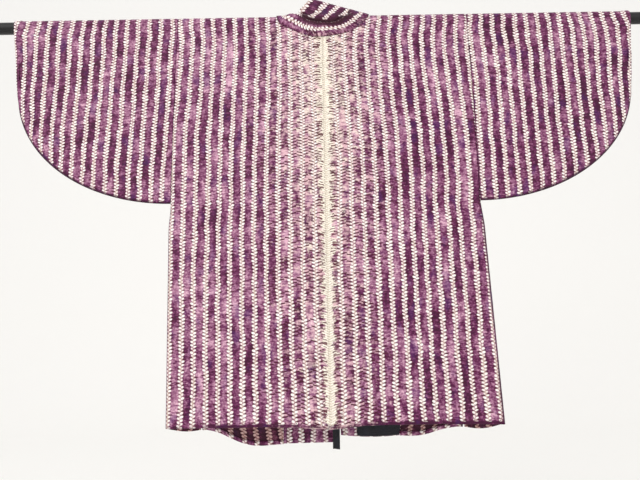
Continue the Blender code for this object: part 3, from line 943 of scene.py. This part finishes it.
def body_half(name):
    half = HALVES[name]
    across = stripe_columns(HALF_BACK, half["first"], half["pitch"])
    length = BACK_DROP + FOLD_LENGTH + half["front_drop"]
    way = np.linspace(-BACK_DROP, FOLD_LENGTH + half["front_drop"], int(round(length / DOT_STEP)) + 1)
    u, h = np.meshgrid(across, way)
    dot = (h + BACK_DROP) / (2 * DOT_STEP)
    edge_room = np.clip(np.minimum(u, HALF_BACK - u) / 0.012, 0.0, 1.0)
    sway = SWAY * waves(u * 0.35, h, half["seed"], SWAY_SIZES) * edge_room
    places, shown_u = body_places(half, u, h, sway)
    z = places[..., 2]
    off = outward(places, half["side"])
    dots = dot_rise((u - half["first"]) / half["pitch"], dot)
    cut, dye, bare_and_shaded_edge = body_dye(half, u, h, z, shown_u, dot)
    places = places + off * body_relief(half, u, h, places, dots)[..., None]

    rows = len(HEM_TURN)
    foot = turned_hem(places, off, 0, 3)
    head = turned_hem(places, off, -1, -4)
    places = np.concatenate((np.array(foot[::-1]), places, np.array(head)))
    cut = both_ends(cut)
    cut[:rows, :, 1] -= 0.5 * np.arange(rows, 0, -1)[:, None]
    cut[-rows:, :, 1] += 0.5 * np.arange(1, rows + 1)[:, None]
    bare_and_shaded_edge = both_ends(bare_and_shaded_edge)
    stitch = np.zeros(bare_and_shaded_edge.shape)
    stitch[[rows + 2, -rows - 3]] = -1.0  # both hems, two rows in
    dye = both_ends(dye)
    return sew("coat_body_" + name, places, cut, dye, half["side"], plain=bare_and_shaded_edge, stitch=stitch)


body_pieces = {name: body_half(name) for name in HALVES}

# %% [markdown]
# Each half is attached to the root and the solid that it stands for is hidden. Its cut's length runs
# over the rod, and the parts cut away at the neck and beyond the front seam are taken off its area.

# %% Attach the body halves and work out their cut
NECK_CUT = 0.003  # square metres cut out for half the neckline
SEAM_FOOT_CUT = 0.155  # how far from the centre line the front seam meets the hem, on the left half's cut

for name, cloth in body_pieces.items():
    drop = HALVES[name]["front_drop"]
    lost = 0.5 * (SEAM_NECK_X + SEAM_FOOT_CUT) * drop + NECK_CUT
    body_flat = (HALF_BACK, BACK_DROP + FOLD_LENGTH + drop)
    hand_over(cloth, "body_" + name, "tie_dyed_silk", flat=body_flat, held="hung", rests_on=["rod"],
              area=round(body_flat[0] * body_flat[1] - lost, 4))
    size = [round(length, 3) for length in body_flat]
    print(name, "body cut", size, "less", round(lost, 4), "square metres")

# %% [markdown]
# ## Sleeves
# A sleeve is one width of cloth folded over the rod, with its lower edges sewn along a round corner. The
# cuff is left open all the way down to that curve. The stripes run straight down from the fold, so the
# curve simply cuts them off. The crossings below the curve are gathered on to it, which closes the seam
# without a jagged edge.

# %% Sleeve form and creases
ARMHOLE_X = 0.3002
CUFF_TOP = 0.639
CUFF_DROP = 0.1395
# distance from the armhole at the top, the same at the foot, depth, half width, start, deepest drop
SLEEVE_CREASES = (
    (0.020, 0.052, 0.0030, 0.015, 0.06, 0.24),
    (0.098, 0.088, 0.0024, 0.017, 0.05, 0.22),
    (0.168, 0.182, 0.0032, 0.019, 0.03, 0.20),
    (0.262, 0.236, 0.0028, 0.016, 0.02, 0.14),
)
SLEEVE_WIDTH = CUFF_TOP - ARMHOLE_X
print("sleeve width:", round(SLEEVE_WIDTH, 4), "creases:", len(SLEEVE_CREASES))

# %% [markdown]
# The relief is the body's again. It fades out towards the closed curve, where the sleeve's two layers
# meet, so that they never cross.

# %% Places and relief of the sleeves


def sleeve_places(half, u, h, sway):
    """Each crossing of the sleeve, those below the curve gathered on it, and how near the curve it is."""
    sine = u / SLEEVE_WIDTH
    foot_z = -mix(CUFF_DROP, half["sleeve_drop"], np.sqrt(np.clip(1 - sine**2, 0.0, 1.0)))
    foot_x = mix(ARMHOLE_X, half["cuff_foot_x"], sine)
    z = np.where(h <= 0, h, np.where(h >= FOLD_LENGTH, FOLD_LENGTH - h, 0.0))
    beyond = z < foot_z + 0.0008
    down = np.clip(z / foot_z, 0.0, 1.0)
    x = mix(ARMHOLE_X + u, foot_x, down) + sway * (1 - beyond)
    y = np.where(h <= 0, -1.0, 1.0) * shut(down)
    turn = np.clip(h / FOLD_RADIUS, 0.0, math.pi)
    on_fold = (h > 0) & (h < FOLD_LENGTH)
    y = np.where(on_fold, -FOLD_RADIUS * np.cos(turn), y)
    z = np.where(on_fold, FOLD_RADIUS * np.sin(turn), z)
    x = np.where(beyond, foot_x, x)
    y = np.where(beyond, 0.0, y)
    z = np.where(beyond, foot_z - PINCH, z)
    steep = np.sqrt(np.clip(1 - sine**2, 0.02, 1.0))
    rim = smooth(1 - ((z - foot_z) * steep - 0.0012) / 0.0022) * (-z > 0.05)
    return np.stack((half["side"] * x, y, z), axis=2), down, beyond, on_fold, np.where(beyond, 1.0, rim)


def sleeve_relief(half, u, h, drop, down, beyond, dots):
    room = np.clip(shut(down) / FOLD_RADIUS, 0.0, 1.0) ** 1.5
    trough = np.zeros_like(u)
    for top_u, foot_u, depth, half_width, start, deepest in SLEEVE_CREASES:
        middle = mix(top_u, foot_u, drop / 0.39) + 0.004 * np.sin(drop * 21.0 + top_u * 50.0 + half["seed"])
        away = (u - middle) / half_width
        strength = smooth((drop - start) / (deepest - start))
        trough += depth * strength * (np.exp(-away**2) - 0.5 * np.exp(-((away - 1.8) ** 2)))
    pucker = PUCKER * waves(u, h, half["seed"] + 4.0, PUCKER_SIZES)
    tuck = SEAM_TUCK * np.exp(-((u / 0.0022) ** 2)) * room
    near_cuff = smooth((u - SLEEVE_WIDTH + 0.016) / 0.008) * np.exp(-((drop / 0.03) ** 2))
    free = smooth(drop / 0.05)
    move = -trough * room * free + pucker * (0.3 + 0.7 * room * free) + DOT_RISE * dots * (0.4 + 0.6 * room)
    return (move - tuck + 0.0014 * near_cuff) * (1 - beyond)


# %% [markdown]
# The cuff's edge is turned in like a hem, but sideways. Where the two layers meet at the sleeve's foot
# there is no room for the turn, so it thins out to nothing there.

# %% Sleeve halves with turned cuffs
CUFF_TURN = ((0.0005, -0.0006), (0.0015, -0.0003), (0.0017, 0.0035), (0.0017, 0.0085))  # deep, back in


def turned_cuff(places, off, on_fold):
    """The columns of the cuff's edge, turned in."""
    base, normal = places[:, -1], off[:, -1]
    back = places[:, -4] - base
    back = back / np.maximum(np.linalg.norm(back, axis=1, keepdims=True), 1e-9)
    thin = np.clip((np.abs(base[:, 1]) - 0.0008) / 0.004, 0.0, 1.0)
    thin = np.where(on_fold[:, -1], 1.0, thin)[:, None]
    columns = [base - normal * deep * thin + back * inward * thin for deep, inward in CUFF_TURN]
    return np.stack(columns, axis=1)


def sleeve_half(name):
    half = HALVES[name]
    across = stripe_columns(SLEEVE_WIDTH, half["sleeve_first"], half["sleeve_pitch"])
    foot = half["sleeve_drop"] + PINCH
    way = np.linspace(-foot, FOLD_LENGTH + foot, int(round((2 * foot + FOLD_LENGTH) / DOT_STEP)) + 1)
    u, h = np.meshgrid(across, way)
    dot = (h + foot) / (2 * DOT_STEP)
    stripe = (u - half["sleeve_first"]) / half["sleeve_pitch"]
    sway = SWAY * waves(u * 0.3, h, half["seed"] + 5.0, SWAY_SIZES)
    sway = sway * np.clip(np.minimum(u, SLEEVE_WIDTH - u) / 0.010, 0.0, 1.0)
    places, down, beyond, on_fold, rim = sleeve_places(half, u, h, sway)
    off = outward(places, half["side"])
    drop = np.maximum(-places[..., 2], 0.0)
    relief = sleeve_relief(half, u, h, drop, down, beyond, dot_rise(stripe, dot))
    places = places + off * relief[..., None]
    places = np.concatenate((places, turned_cuff(places, off, on_fold)), axis=1)

    columns = len(CUFF_TURN)
    leaning = lean(half["sleeve_lean_in"], half["sleeve_lean_out"], SLEEVE_LEAN_DROPS,
                   u / SLEEVE_WIDTH, drop)
    stripe = stripe - leaning * smooth(drop / 0.03) / half["sleeve_pitch"]
    cut = np.stack((stripe + 80.0 * half["side"], dot, 0 * dot), axis=2)
    tail = np.repeat(cut[:, -1:], columns, axis=1)
    tail[..., 0] += 0.12 * np.arange(1, columns + 1)[None, :]
    cut = np.concatenate((cut, tail), axis=1)
    rim = np.pad(rim, ((0, 0), (0, columns)), mode="edge")
    dye = np.zeros(cut.shape)
    # Near the closed curve the sleeve has no dots and a lower tone: partly its own deeper dye, partly
    # painted shade at the edge.
    dye[..., 1] = half["sleeve_tone"] - 0.34 * rim
    stitch = np.zeros(rim.shape)
    stitch[:, -columns - 3] = 1.0
    return sew("coat_sleeve_" + name, places, cut, dye, half["side"], plain=rim, stitch=stitch)


sleeve_pieces = {name: sleeve_half(name) for name in HALVES}

# %% [markdown]
# The lower corners are cut round, so a sleeve's area is less than its width times its length.

# %% Attach the sleeves and work out their area
for name, cloth in sleeve_pieces.items():
    drop = HALVES[name]["sleeve_drop"]
    sleeve_flat = (SLEEVE_WIDTH, 2 * drop + FOLD_LENGTH)
    quarter = CUFF_DROP + math.pi / 4 * (drop - CUFF_DROP)  # mean depth under a quarter of an ellipse
    sleeve_area = SLEEVE_WIDTH * (2 * quarter + FOLD_LENGTH)
    hand_over(cloth, "sleeve_" + name, "tie_dyed_silk", flat=sleeve_flat, held="hung", rests_on=["rod"],
              area=round(sleeve_area, 4))
    size = [round(length, 3) for length in sleeve_flat]
    print(name, "sleeve cut", size, "area", round(sleeve_area, 4))

# %% [markdown]
# ## Side gussets
# A narrow wedge of the same cloth joins back and front below each armhole. From the back it only shows
# as the thickness of the side, but it holds the front hem away from the back hem, so it is cut and laid
# like the rest.

# %% Gussets
GUSSET_TOP = 0.410
GUSSET_INSET = 0.0016
GUSSET_HEIGHT = 0.39
GUSSET_SAG = 0.0022
STRIPE_SHIFT = 0.0113  # half a stripe, so that a gap between stripes lies in the wedge's middle


def gusset(name):
    half = HALVES[name]
    side = half["side"]
    width = math.hypot(half["back_hem_x"] - half["front_hem_x"], FRONT_STAND_OFF + 2 * PINCH)
    across = stripe_columns(width, width / 2 % (half["pitch"] / 8), half["pitch"])
    count = int(round((BACK_DROP - GUSSET_TOP) / DOT_STEP))
    s, t = np.meshgrid(across, np.linspace(1.0, 0.0, count + 1))
    back_z = -mix(GUSSET_TOP, BACK_DROP, t)
    front_z = -mix(GUSSET_TOP, -front_hem_z(half, 1.0), t)
    start = np.stack((side * back_outer_x(half, back_z), 0 * t - PINCH, back_z), axis=2)
    end = np.stack((side * front_outer_x(half, front_z), front_side_y(half, front_z), front_z), axis=2)
    flat = end - start
    span = np.linalg.norm(flat, axis=2)
    steep = np.maximum(np.abs(flat[..., 1]) / span, 0.2)
    usable = span - 2 * np.minimum((CLOTH_WALL + GUSSET_INSET) / steep, span * 0.4)
    from_middle = np.clip(s - width / 2, -usable / 2, usable / 2)
    share = 0.5 + from_middle / span
    places = start + flat * share[..., None]
    off = outward(places, side)
    stripe = (from_middle + STRIPE_SHIFT) / half["pitch"]
    dot = (1 - t) * (BACK_DROP - GUSSET_TOP) / (2 * DOT_STEP)
    inner = np.abs(s - width / 2) < usable / 2 - 0.001
    rise = DOT_RISE * dot_rise(stripe, dot) * inner
    hollow = np.sin(math.pi * np.clip(share, 0, 1))
    sag = GUSSET_SAG * hollow * smooth(t * 2)
    pucker = 0.0004 * waves(s, t * GUSSET_HEIGHT, half["seed"] + 9.0, PUCKER_SIZES)
    places = places + off * ((rise + pucker) * inner - sag)[..., None]
    places[..., 2] -= half["gusset_dip"] * hollow * smooth((t - 0.7) / 0.3)
    cut = np.stack((stripe + 120.0 * side, dot, 0 * dot), axis=2)
    dye = np.zeros(cut.shape)
    dye[..., 1] = half["tone"]
    cloth = sew("coat_gusset_" + name, places, cut, dye, side)
    hand_over(cloth, "gusset_" + name, "tie_dyed_silk", flat=(round(width, 4), GUSSET_HEIGHT), held="hung",
              rests_on=["body_" + name], area=round(0.52 * width * GUSSET_HEIGHT, 4))
    return cloth


gusset_pieces = {name: gusset(name) for name in HALVES}
print("gussets:", [cloth.name for cloth in gusset_pieces.values()])

# %% [markdown]
# ## Collar
# The collar is one long strip. Its sewn edge follows the front seams and the back neckline, and its free
# edge falls freely. It could be swept along a curve, but its width keeps turning: flat on the fronts,
# over the rod behind the neck, and up into a standing pleat at the right. So each station of the strip
# is a taut line from its sewn edge over the rod to its free edge, and a smooth curve runs through the
# stations.

# %% Collar stations
# sewn edge: x, and the way along the body from the rod's back side | free edge: x, y, z | radius over
# the rod
COLLAR = (
    ("left hem", -0.0930, 0.8836, 0.0150, 0.0690, -0.8405, 0.0160),
    ("left waist", -0.0935, 0.4921, 0.0160, 0.0460, -0.4500, 0.0160),
    ("left chest", -0.0955, 0.1980, 0.0170, 0.0300, -0.1900, 0.0165),
    ("left upper front", -0.0970, 0.0900, 0.0130, 0.0270, -0.0980, 0.0180),
    ("left below the rod", -0.0975, 0.0500, 0.0060, 0.0280, -0.0680, 0.0200),
    ("left over the rod", -0.0965, 0.0230, -0.0030, 0.0285, -0.0480, 0.0215),
    ("left neck point", -0.0900, -0.0060, -0.0120, 0.0295, -0.0330, 0.0200),
    ("left shoulder", -0.0700, -0.0190, -0.0205, 0.0310, -0.0185, 0.0183),
    ("left back corner", -0.0480, -0.0310, -0.0290, 0.0325, -0.0015, 0.0170),
    ("left back", -0.0250, -0.0400, -0.0360, 0.0300, 0.0165, 0.0173),
    ("centre back", 0.0000, -0.0410, -0.0415, 0.0210, 0.0285, 0.0173),
    ("right back", 0.0300, -0.0365, -0.0465, 0.0125, 0.0340, 0.0175),
    ("right back corner", 0.0580, -0.0290, -0.0490, 0.0070, 0.0355, 0.0172),
    ("right shoulder", 0.0800, -0.0130, -0.0380, 0.0020, 0.0450, 0.0174),
    ("right neck point", 0.0950, 0.0040, -0.0270, -0.0010, 0.0540, 0.0170),
    ("standing pleat", 0.0990, 0.0210, -0.0180, 0.0020, 0.0590, 0.0170),
    ("behind the pleat", 0.0990, 0.0350, -0.0190, 0.0170, 0.0480, 0.0170),
    ("right below the rod", 0.0985, 0.0540, -0.0210, 0.0370, 0.0050, 0.0165),
    ("right upper front", 0.0990, 0.0940, -0.0210, 0.0430, -0.0600, 0.0160),
    ("right chest", 0.1020, 0.1980, -0.0150, 0.0450, -0.1650, 0.0160),
    ("right waist", 0.1180, 0.4921, 0.0050, 0.0570, -0.4500, 0.0160),
    ("right hem", 0.1380, 0.8716, 0.0215, 0.0700, -0.8285, 0.0160),
)
COLLAR_OFF = 0.0021
TURN_SLACK = 0.0003
COLLAR_COLUMNS = 40


def on_body(half, x, height):
    if height <= 0:
        return x, float(back_y(x, height)) - COLLAR_OFF, height
    if height < FOLD_LENGTH:
        turn = height / FOLD_RADIUS
        radius = FOLD_RADIUS + COLLAR_OFF + TURN_SLACK * math.sin(turn)
        return x, -radius * math.cos(turn), radius * math.sin(turn)
    z = FOLD_LENGTH - height
    return x, float(front_middle_y(half, z)) + COLLAR_OFF, z


def over_rod(edge, free, turn):
    """The taut line from edge to free that passes over a circle of radius turn, in even steps."""
    edge_away = math.hypot(edge[1], edge[2])
    free_away = math.hypot(free[1], free[2])
    turn = min(turn, edge_away, free_away)
    flat = [(edge[1], edge[2])]
    if edge[1] < 0 or edge[2] > 0:
        leaves = math.atan2(edge[2], edge[1]) % math.tau - math.acos(turn / edge_away)
        lands = math.atan2(free[2], free[1]) + math.acos(turn / free_away)
        if leaves > lands:
            steps = max(2, math.ceil((leaves - lands) / math.radians(6)))
            turns = np.linspace(leaves, lands, steps + 1)
            flat += [(turn * math.cos(a), turn * math.sin(a)) for a in turns]
    flat.append((free[1], free[2]))
    flat = np.array(flat)
    lengths = np.concatenate(([0.0], np.cumsum(np.linalg.norm(np.diff(flat, axis=0), axis=1))))
    ways = np.linspace(0.0, lengths[-1], COLLAR_COLUMNS + 1)
    share = np.linspace(0.0, 1.0, COLLAR_COLUMNS + 1)
    return np.stack((mix(edge[0], free[0], share), np.interp(ways, lengths, flat[:, 0]),
                     np.interp(ways, lengths, flat[:, 1])), axis=1)


def curve_through(values, t):
    """A smooth curve through the values, one for each whole t."""
    i = min(int(t), len(values) - 2)
    t -= i
    b, c = values[i], values[i + 1]
    a = values[i - 1] if i > 0 else 2 * b - c
    d = values[i + 2] if i + 2 < len(values) else 2 * c - b
    return b + t / 2 * ((c - a) + t * ((2 * a - 5 * b + 4 * c - d) + t * (3 * (b - c) + d - a)))


def foot_sag(t, share):
    """The right front's foot hangs a little lower in the middle of its width."""
    return 0.0032 * np.sin(math.pi * share) * smooth((t - 20.4) / 0.6)


def collar_line(t):
    """Points across the collar at station t."""
    values = [curve_through([row[column] for row in COLLAR], t) for column in range(1, 7)]
    half = HALVES["left" if values[0] < 0 else "right"]
    return over_rod(on_body(half, values[0], values[1]), values[2:5], values[5])


print("collar stations:", len(COLLAR))

# %% [markdown]
# The strip gets its rows one half dot apart along its real length. Behind the neck it is creased
# lengthways and its wing stands up, folded on the slant, so the stripes run up the wing to the right.
# Painted shade darkens the crease and, more lightly, the wing that stands above it.

# %% Collar relief, wing and dye
COLLAR_WALL = 0.0017
BAND_PITCH = 0.0228
BAND_FIRST = 0.017  # from the sewn edge to the band's first stripe
CREASE_WAY = 0.040  # from the sewn edge to the lengthways crease
WING_SLANT = math.radians(53)


def even_stations():
    """Stations half a dot apart along the strip, and the way to each."""
    fine_steps = np.linspace(0.0, len(COLLAR) - 1.0, 1261)
    lines = np.array([collar_line(t) for t in fine_steps])
    moved = np.linalg.norm(np.diff(lines, axis=0), axis=2).mean(axis=1)
    travelled = np.concatenate(([0.0], np.cumsum(moved)))
    evenly = np.linspace(0.0, travelled[-1], int(round(travelled[-1] / DOT_STEP)) + 1)
    return np.interp(evenly, travelled, fine_steps), evenly


def collar_relief(s, along, places, dots, behind_neck):
    crease = 0.0021 * np.exp(-(((s - CREASE_WAY) / 0.0026) ** 2)) * behind_neck
    swell = 0.0010 * np.exp(-(((s - 0.020) / 0.011) ** 2)) * behind_neck
    edge = 0.0007 * np.exp(-((s / 0.0035) ** 2))
    ripple = 0.0004 * waves(s, along, 23.0, (0.031, 0.0113, 0.0067))
    off_rod = np.clip((np.hypot(places[..., 1], places[..., 2]) - 0.0165) / 0.004, 0.0, 1.0)
    return swell - crease - edge + 0.0005 * dots + np.where(off_rod < 1, np.abs(ripple), ripple)


def wing_pattern(s, station, stripe, dot, x, z):
    """Stripes and dots with those of the wing turned on the slant, and where the wing is."""
    slant = x * math.sin(WING_SLANT) - z * math.cos(WING_SLANT)
    rank = (slant - 0.0060) / 0.0243
    rank = np.where(slant < -0.0183, (slant + 0.0183) / 0.0365 - 1, rank)
    up = (x * math.cos(WING_SLANT) + z * math.sin(WING_SLANT)) / (2 * DOT_STEP)
    wing = (s > CREASE_WAY) & (station > 8.2) & (station < 15.4)
    return np.where(wing, rank + 50, stripe), np.where(wing, up, dot), wing


def collar_dye(s, station, wing, behind_neck):
    """The dye's three numbers, and where the collar has no dots."""
    fold = np.exp(-(((s - CREASE_WAY - 0.0020) / 0.0052) ** 2)) * behind_neck
    fold = fold * np.where(s > CREASE_WAY, 1 - smooth((station - 12.2) / 0.8), 1.0)
    stitched = np.exp(-((s / 0.0030) ** 2)) * (1 - behind_neck)
    band = behind_neck * (s < CREASE_WAY)
    deep = band * smooth((s - 0.022) / 0.008)
    # Painted shade: the tone drops and the colour goes towards the dark crease shade in the lengthways
    # crease and, less, on the wing above it, and no dots are drawn along the crease. The band is darker and
    # redder towards the crease as well.
    tone = -0.55 * fold - 0.25 * stitched - 0.02 - 0.20 * wing - 0.22 * deep - 0.05 * band
    crease_shade_and_red = np.clip(fold + 0.7 * deep + 0.2 * wing + 0.15 * band, 0.0, 1.0)
    on_crease = np.exp(-(((s - CREASE_WAY) / 0.0062) ** 2)) * smooth((station - 7.4) / 0.8)
    on_crease = on_crease * (1 - smooth((station - np.where(s > CREASE_WAY, 12.4, 15.0)) / 0.8))
    plain = np.clip(np.maximum(1.7 * on_crease, 1.3 * np.maximum(fold, stitched)), 0.0, 1.0)
    return np.stack((0.36 * (band - deep) * (1 - fold), tone, -crease_shade_and_red), axis=2), plain


print("the wing's stripes climb at", round(math.degrees(WING_SLANT)), "degrees")

# %% [markdown]
# With its parts ready, the strip is laid in one go: places at the stations, relief, pattern, dye, and a
# line of stitches along its sewn edge. It is double cloth, so both of its faces are right sides.

# %% Collar piece


def collar_piece():
    stations, evenly = even_stations()
    places = np.array([collar_line(t) for t in stations])
    widths = np.linalg.norm(np.diff(places, axis=1), axis=2).sum(axis=1)
    share = np.linspace(0.0, 1.0, COLLAR_COLUMNS + 1)
    s = share[None, :] * widths[:, None]
    along = np.repeat(evenly[:, None], COLLAR_COLUMNS + 1, axis=1)
    station = np.repeat(stations[:, None], COLLAR_COLUMNS + 1, axis=1)
    places[..., 2] -= foot_sag(station, share[None, :])
    off = outward(places, -1)
    behind_neck = smooth((station - 7.2) / 1.2) * (1 - smooth((station - 13.2) / 1.2))
    stripe = (s - BAND_FIRST) / BAND_PITCH
    rate = 1 + 0.30 * behind_neck[1:, :1]  # the dots sit closer where the strip bends round the neck
    bound = np.cumsum(np.diff(along[:, :1], axis=0) * rate, axis=0)
    dot = np.concatenate(([[0.0]], bound)) / (2 * DOT_STEP) + 0 * s
    relief = collar_relief(s, along, places, dot_rise(stripe, dot), behind_neck)
    places = places + off * relief[..., None]
    stripe, dot, wing = wing_pattern(s, station, stripe, dot, places[..., 0], places[..., 2])
    cut = np.stack((stripe + 200.0, dot, 0 * dot), axis=2)
    dye, plain = collar_dye(s, station, wing, behind_neck)
    stitch = np.zeros(plain.shape)
    stitch[:, 1] = 1.0
    cloth = sew("coat_collar", places, cut, dye, -1, COLLAR_WALL, plain=plain, stitch=stitch, double=True)
    return cloth, float(evenly[-1]), float(widths.mean())


collar, collar_length, collar_width = collar_piece()
hand_over(collar, "collar", "tie_dyed_silk", flat=(round(collar_width, 4), round(collar_length, 4)),
          held="folded", rests_on=["coat_body_left", "coat_body_right", "rod"])
print("collar strip", round(collar_width, 4), "by", round(collar_length, 4))

# %% [markdown]
# ## Navy tie and facing
# A flat navy tape hangs inside the left front to tie the coat, and a navy patch faces the foot of the
# right collar. Both are plain weave in cotton. The tape is a folded strip, sewn shut near its edges, so
# it gets two stitched grooves and a slight twist; a flat ribbon would look like paper.

# %% Navy cotton
NAVY_DEEP = linear(11, 11, 19)
NAVY_WORN = linear(37, 40, 56)
THREAD_MM = 0.55


def navy_cotton():
    cotton = Finish("navy_cotton", Roughness=0.82, Sheen_Weight=0.18, Sheen_Roughness=0.5)
    over, up, stitch = cotton.attribute("cut")
    warp = cotton.wave(over, THREAD_MM)
    weft = cotton.wave(up, THREAD_MM)
    checker = (warp * weft).step(-0.4, 0.4)
    cloudy = cotton.noise(cotton.place(over * 0.05, up * 0.05, 3.0), 1.0, 3.0)
    slub = cotton.noise(cotton.place(over * 0.2, up * 2.0, 8.0), 1.0, 2.0)
    colour = cotton.blend(cloudy.step(0.35, 0.75) * 0.45 + checker * 0.18 + (slub - 0.5) * 0.3,
                          NAVY_DEEP, NAVY_WORN)
    cotton.paint("Base Color", colour)
    cotton.paint("Roughness", 0.78 + (cloudy - 0.5) * 0.2)
    cotton.bump(checker * 0.6 + slub * 0.5 - stitch * 1.5, 0.0003, 0.9)
    return cotton.material


navy_material = navy_cotton()
print("navy nodes:", len(navy_material.node_tree.nodes))

# %% Tie
TIE_WIDTH = 0.013
TIE_TOP = 0.450
TIE_END = 0.850
TIE_X = 0.0130
NAVY_WALL = 0.0011

low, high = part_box("tie")
tie_top_y = low.y + 0.0006
across = np.linspace(-TIE_WIDTH / 2, TIE_WIDTH / 2, 17)
over, down = np.meshgrid(across, np.linspace(0.0, TIE_END - TIE_TOP, 201))
t = down / (TIE_END - TIE_TOP)
twist = 0.20 * smooth((t - 0.25) / 0.5) * np.sin(3.4 * t)
cup = 0.0007 * (1 - (over / (TIE_WIDTH / 2)) ** 2)
groove = np.exp(-(((TIE_WIDTH / 2 - np.abs(over)) - 0.0018) / 0.0005) ** 2)
tie_x = TIE_X + over * np.cos(twist) + 0.0012 * np.sin(4.0 * t) * t
tie_y = tie_top_y + 0.010 * smooth(1.6 * t - 0.2) + over * np.sin(twist) + cup - 0.0002 * groove
tie_z = -TIE_TOP - down - 0.0006 * np.sin(over / TIE_WIDTH * 3.0) * (t > 0.99)
tie_places = np.stack((tie_x, tie_y, tie_z), axis=2)
tie_cut = np.stack((over * 1000, down * 1000, groove), axis=2)
tie = sew("navy_tie", tie_places, tie_cut, 0 * tie_cut, 1, NAVY_WALL, navy_material)
hand_over(tie, "tie", "navy_cloth", flat=(TIE_WIDTH, TIE_END - TIE_TOP), held="hung",
          rests_on=["coat_collar"])

# %% [markdown]
# The facing lies against the inside of the right collar's foot. So it is laid on the collar's own
# stations and moved a little inwards, which keeps it close to the collar at every height.

# %% Facing
FACING_TOP = 0.700
FACING_SHARES = (0.030, 0.735)  # from and to, as shares of the collar's width
FACING_WIDTH = 0.083
FACING_HEIGHT = 0.129
FACING_BACK_OFF = 0.0018
COLLAR_FOOT_WIDTH = 0.118

last = len(COLLAR) - 1.0
search = np.linspace(last - 1.0, last, 60)
heights = np.array([collar_line(t)[-1, 2] for t in search])
first_station = float(np.interp(FACING_TOP, -heights, search))
stations = np.linspace(first_station, last - 0.003, 62)
spread = np.linspace(*FACING_SHARES, 42)
steps = np.linspace(0.0, 1.0, COLLAR_COLUMNS + 1)
facing_places = np.array([[[np.interp(share, steps, line[:, k]) for k in range(3)] for share in spread]
                          for line in (collar_line(t) for t in stations)])
facing_places[..., 2] -= foot_sag(stations[:, None], spread[None, :])
facing_off = outward(facing_places, -1)
over = (spread[None, :] - spread[0]) * COLLAR_FOOT_WIDTH + 0 * stations[:, None]
down = (stations[:, None] - stations[0]) / (stations[-1] - stations[0]) * FACING_HEIGHT + 0 * spread[None, :]
edge_way = np.minimum(np.minimum(over, over.max() - over), np.minimum(down, down.max() - down))
hem_line = np.exp(-(((edge_way - 0.0045) / 0.0007) ** 2))
rumple = 0.0005 * waves(over, down, 31.0, (0.043, 0.019, 0.011))
inwards = FACING_BACK_OFF + np.abs(rumple) - 0.0003 * hem_line
facing_places = facing_places - facing_off * inwards[..., None]
facing_cut = np.stack((over * 1000, down * 1000, hem_line), axis=2)
facing = sew("navy_facing", facing_places, facing_cut, 0 * facing_cut, -1, NAVY_WALL, navy_material)
hand_over(facing, "facing_right", "navy_cloth", flat=(FACING_WIDTH, FACING_HEIGHT), held="laid",
          rests_on=["coat_collar"])

# %% [markdown]
# ## Rod
# The rod is a plain round bar in black lacquer. Its solid is already the right shape, so it stays and
# only gets a finish: a deep gloss with faint long brush marks and a little dust.

# %% Rod lacquer
LACQUER_BLACK = linear(16, 15, 17)
LACQUER_DUST = linear(58, 55, 52)


def rod_lacquer():
    lacquer = Finish("black_lacquer", Roughness=0.34, IOR=1.38)
    here = lacquer.node("ShaderNodeTexCoord", {}, {}, out="Object")
    x, y, z = lacquer.parts(here)
    brush = lacquer.noise(lacquer.place(x * 14.0, y * 420.0, z * 420.0), 1.0, 3.0)
    dust = lacquer.noise(here, 160.0, 4.0, 0.7).step(0.56, 0.80) * (z * 60.0 + 0.4).step(0.2, 1.1)
    dulled = dust * 0.25 + (brush - 0.5) * 0.2
    lacquer.paint("Base Color", lacquer.blend(dulled, LACQUER_BLACK, LACQUER_DUST))
    lacquer.paint("Roughness", 0.30 + brush * 0.16 + dust * 0.3)
    lacquer.bump(brush, 0.0001, 0.4)
    return lacquer.material


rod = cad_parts["rod"]
lacquer_material = rod_lacquer()
if not rod.material_slots:
    rod.data.materials.append(lacquer_material)
for slot in rod.material_slots:
    slot.material = lacquer_material
print("rod slots:", len(rod.material_slots))
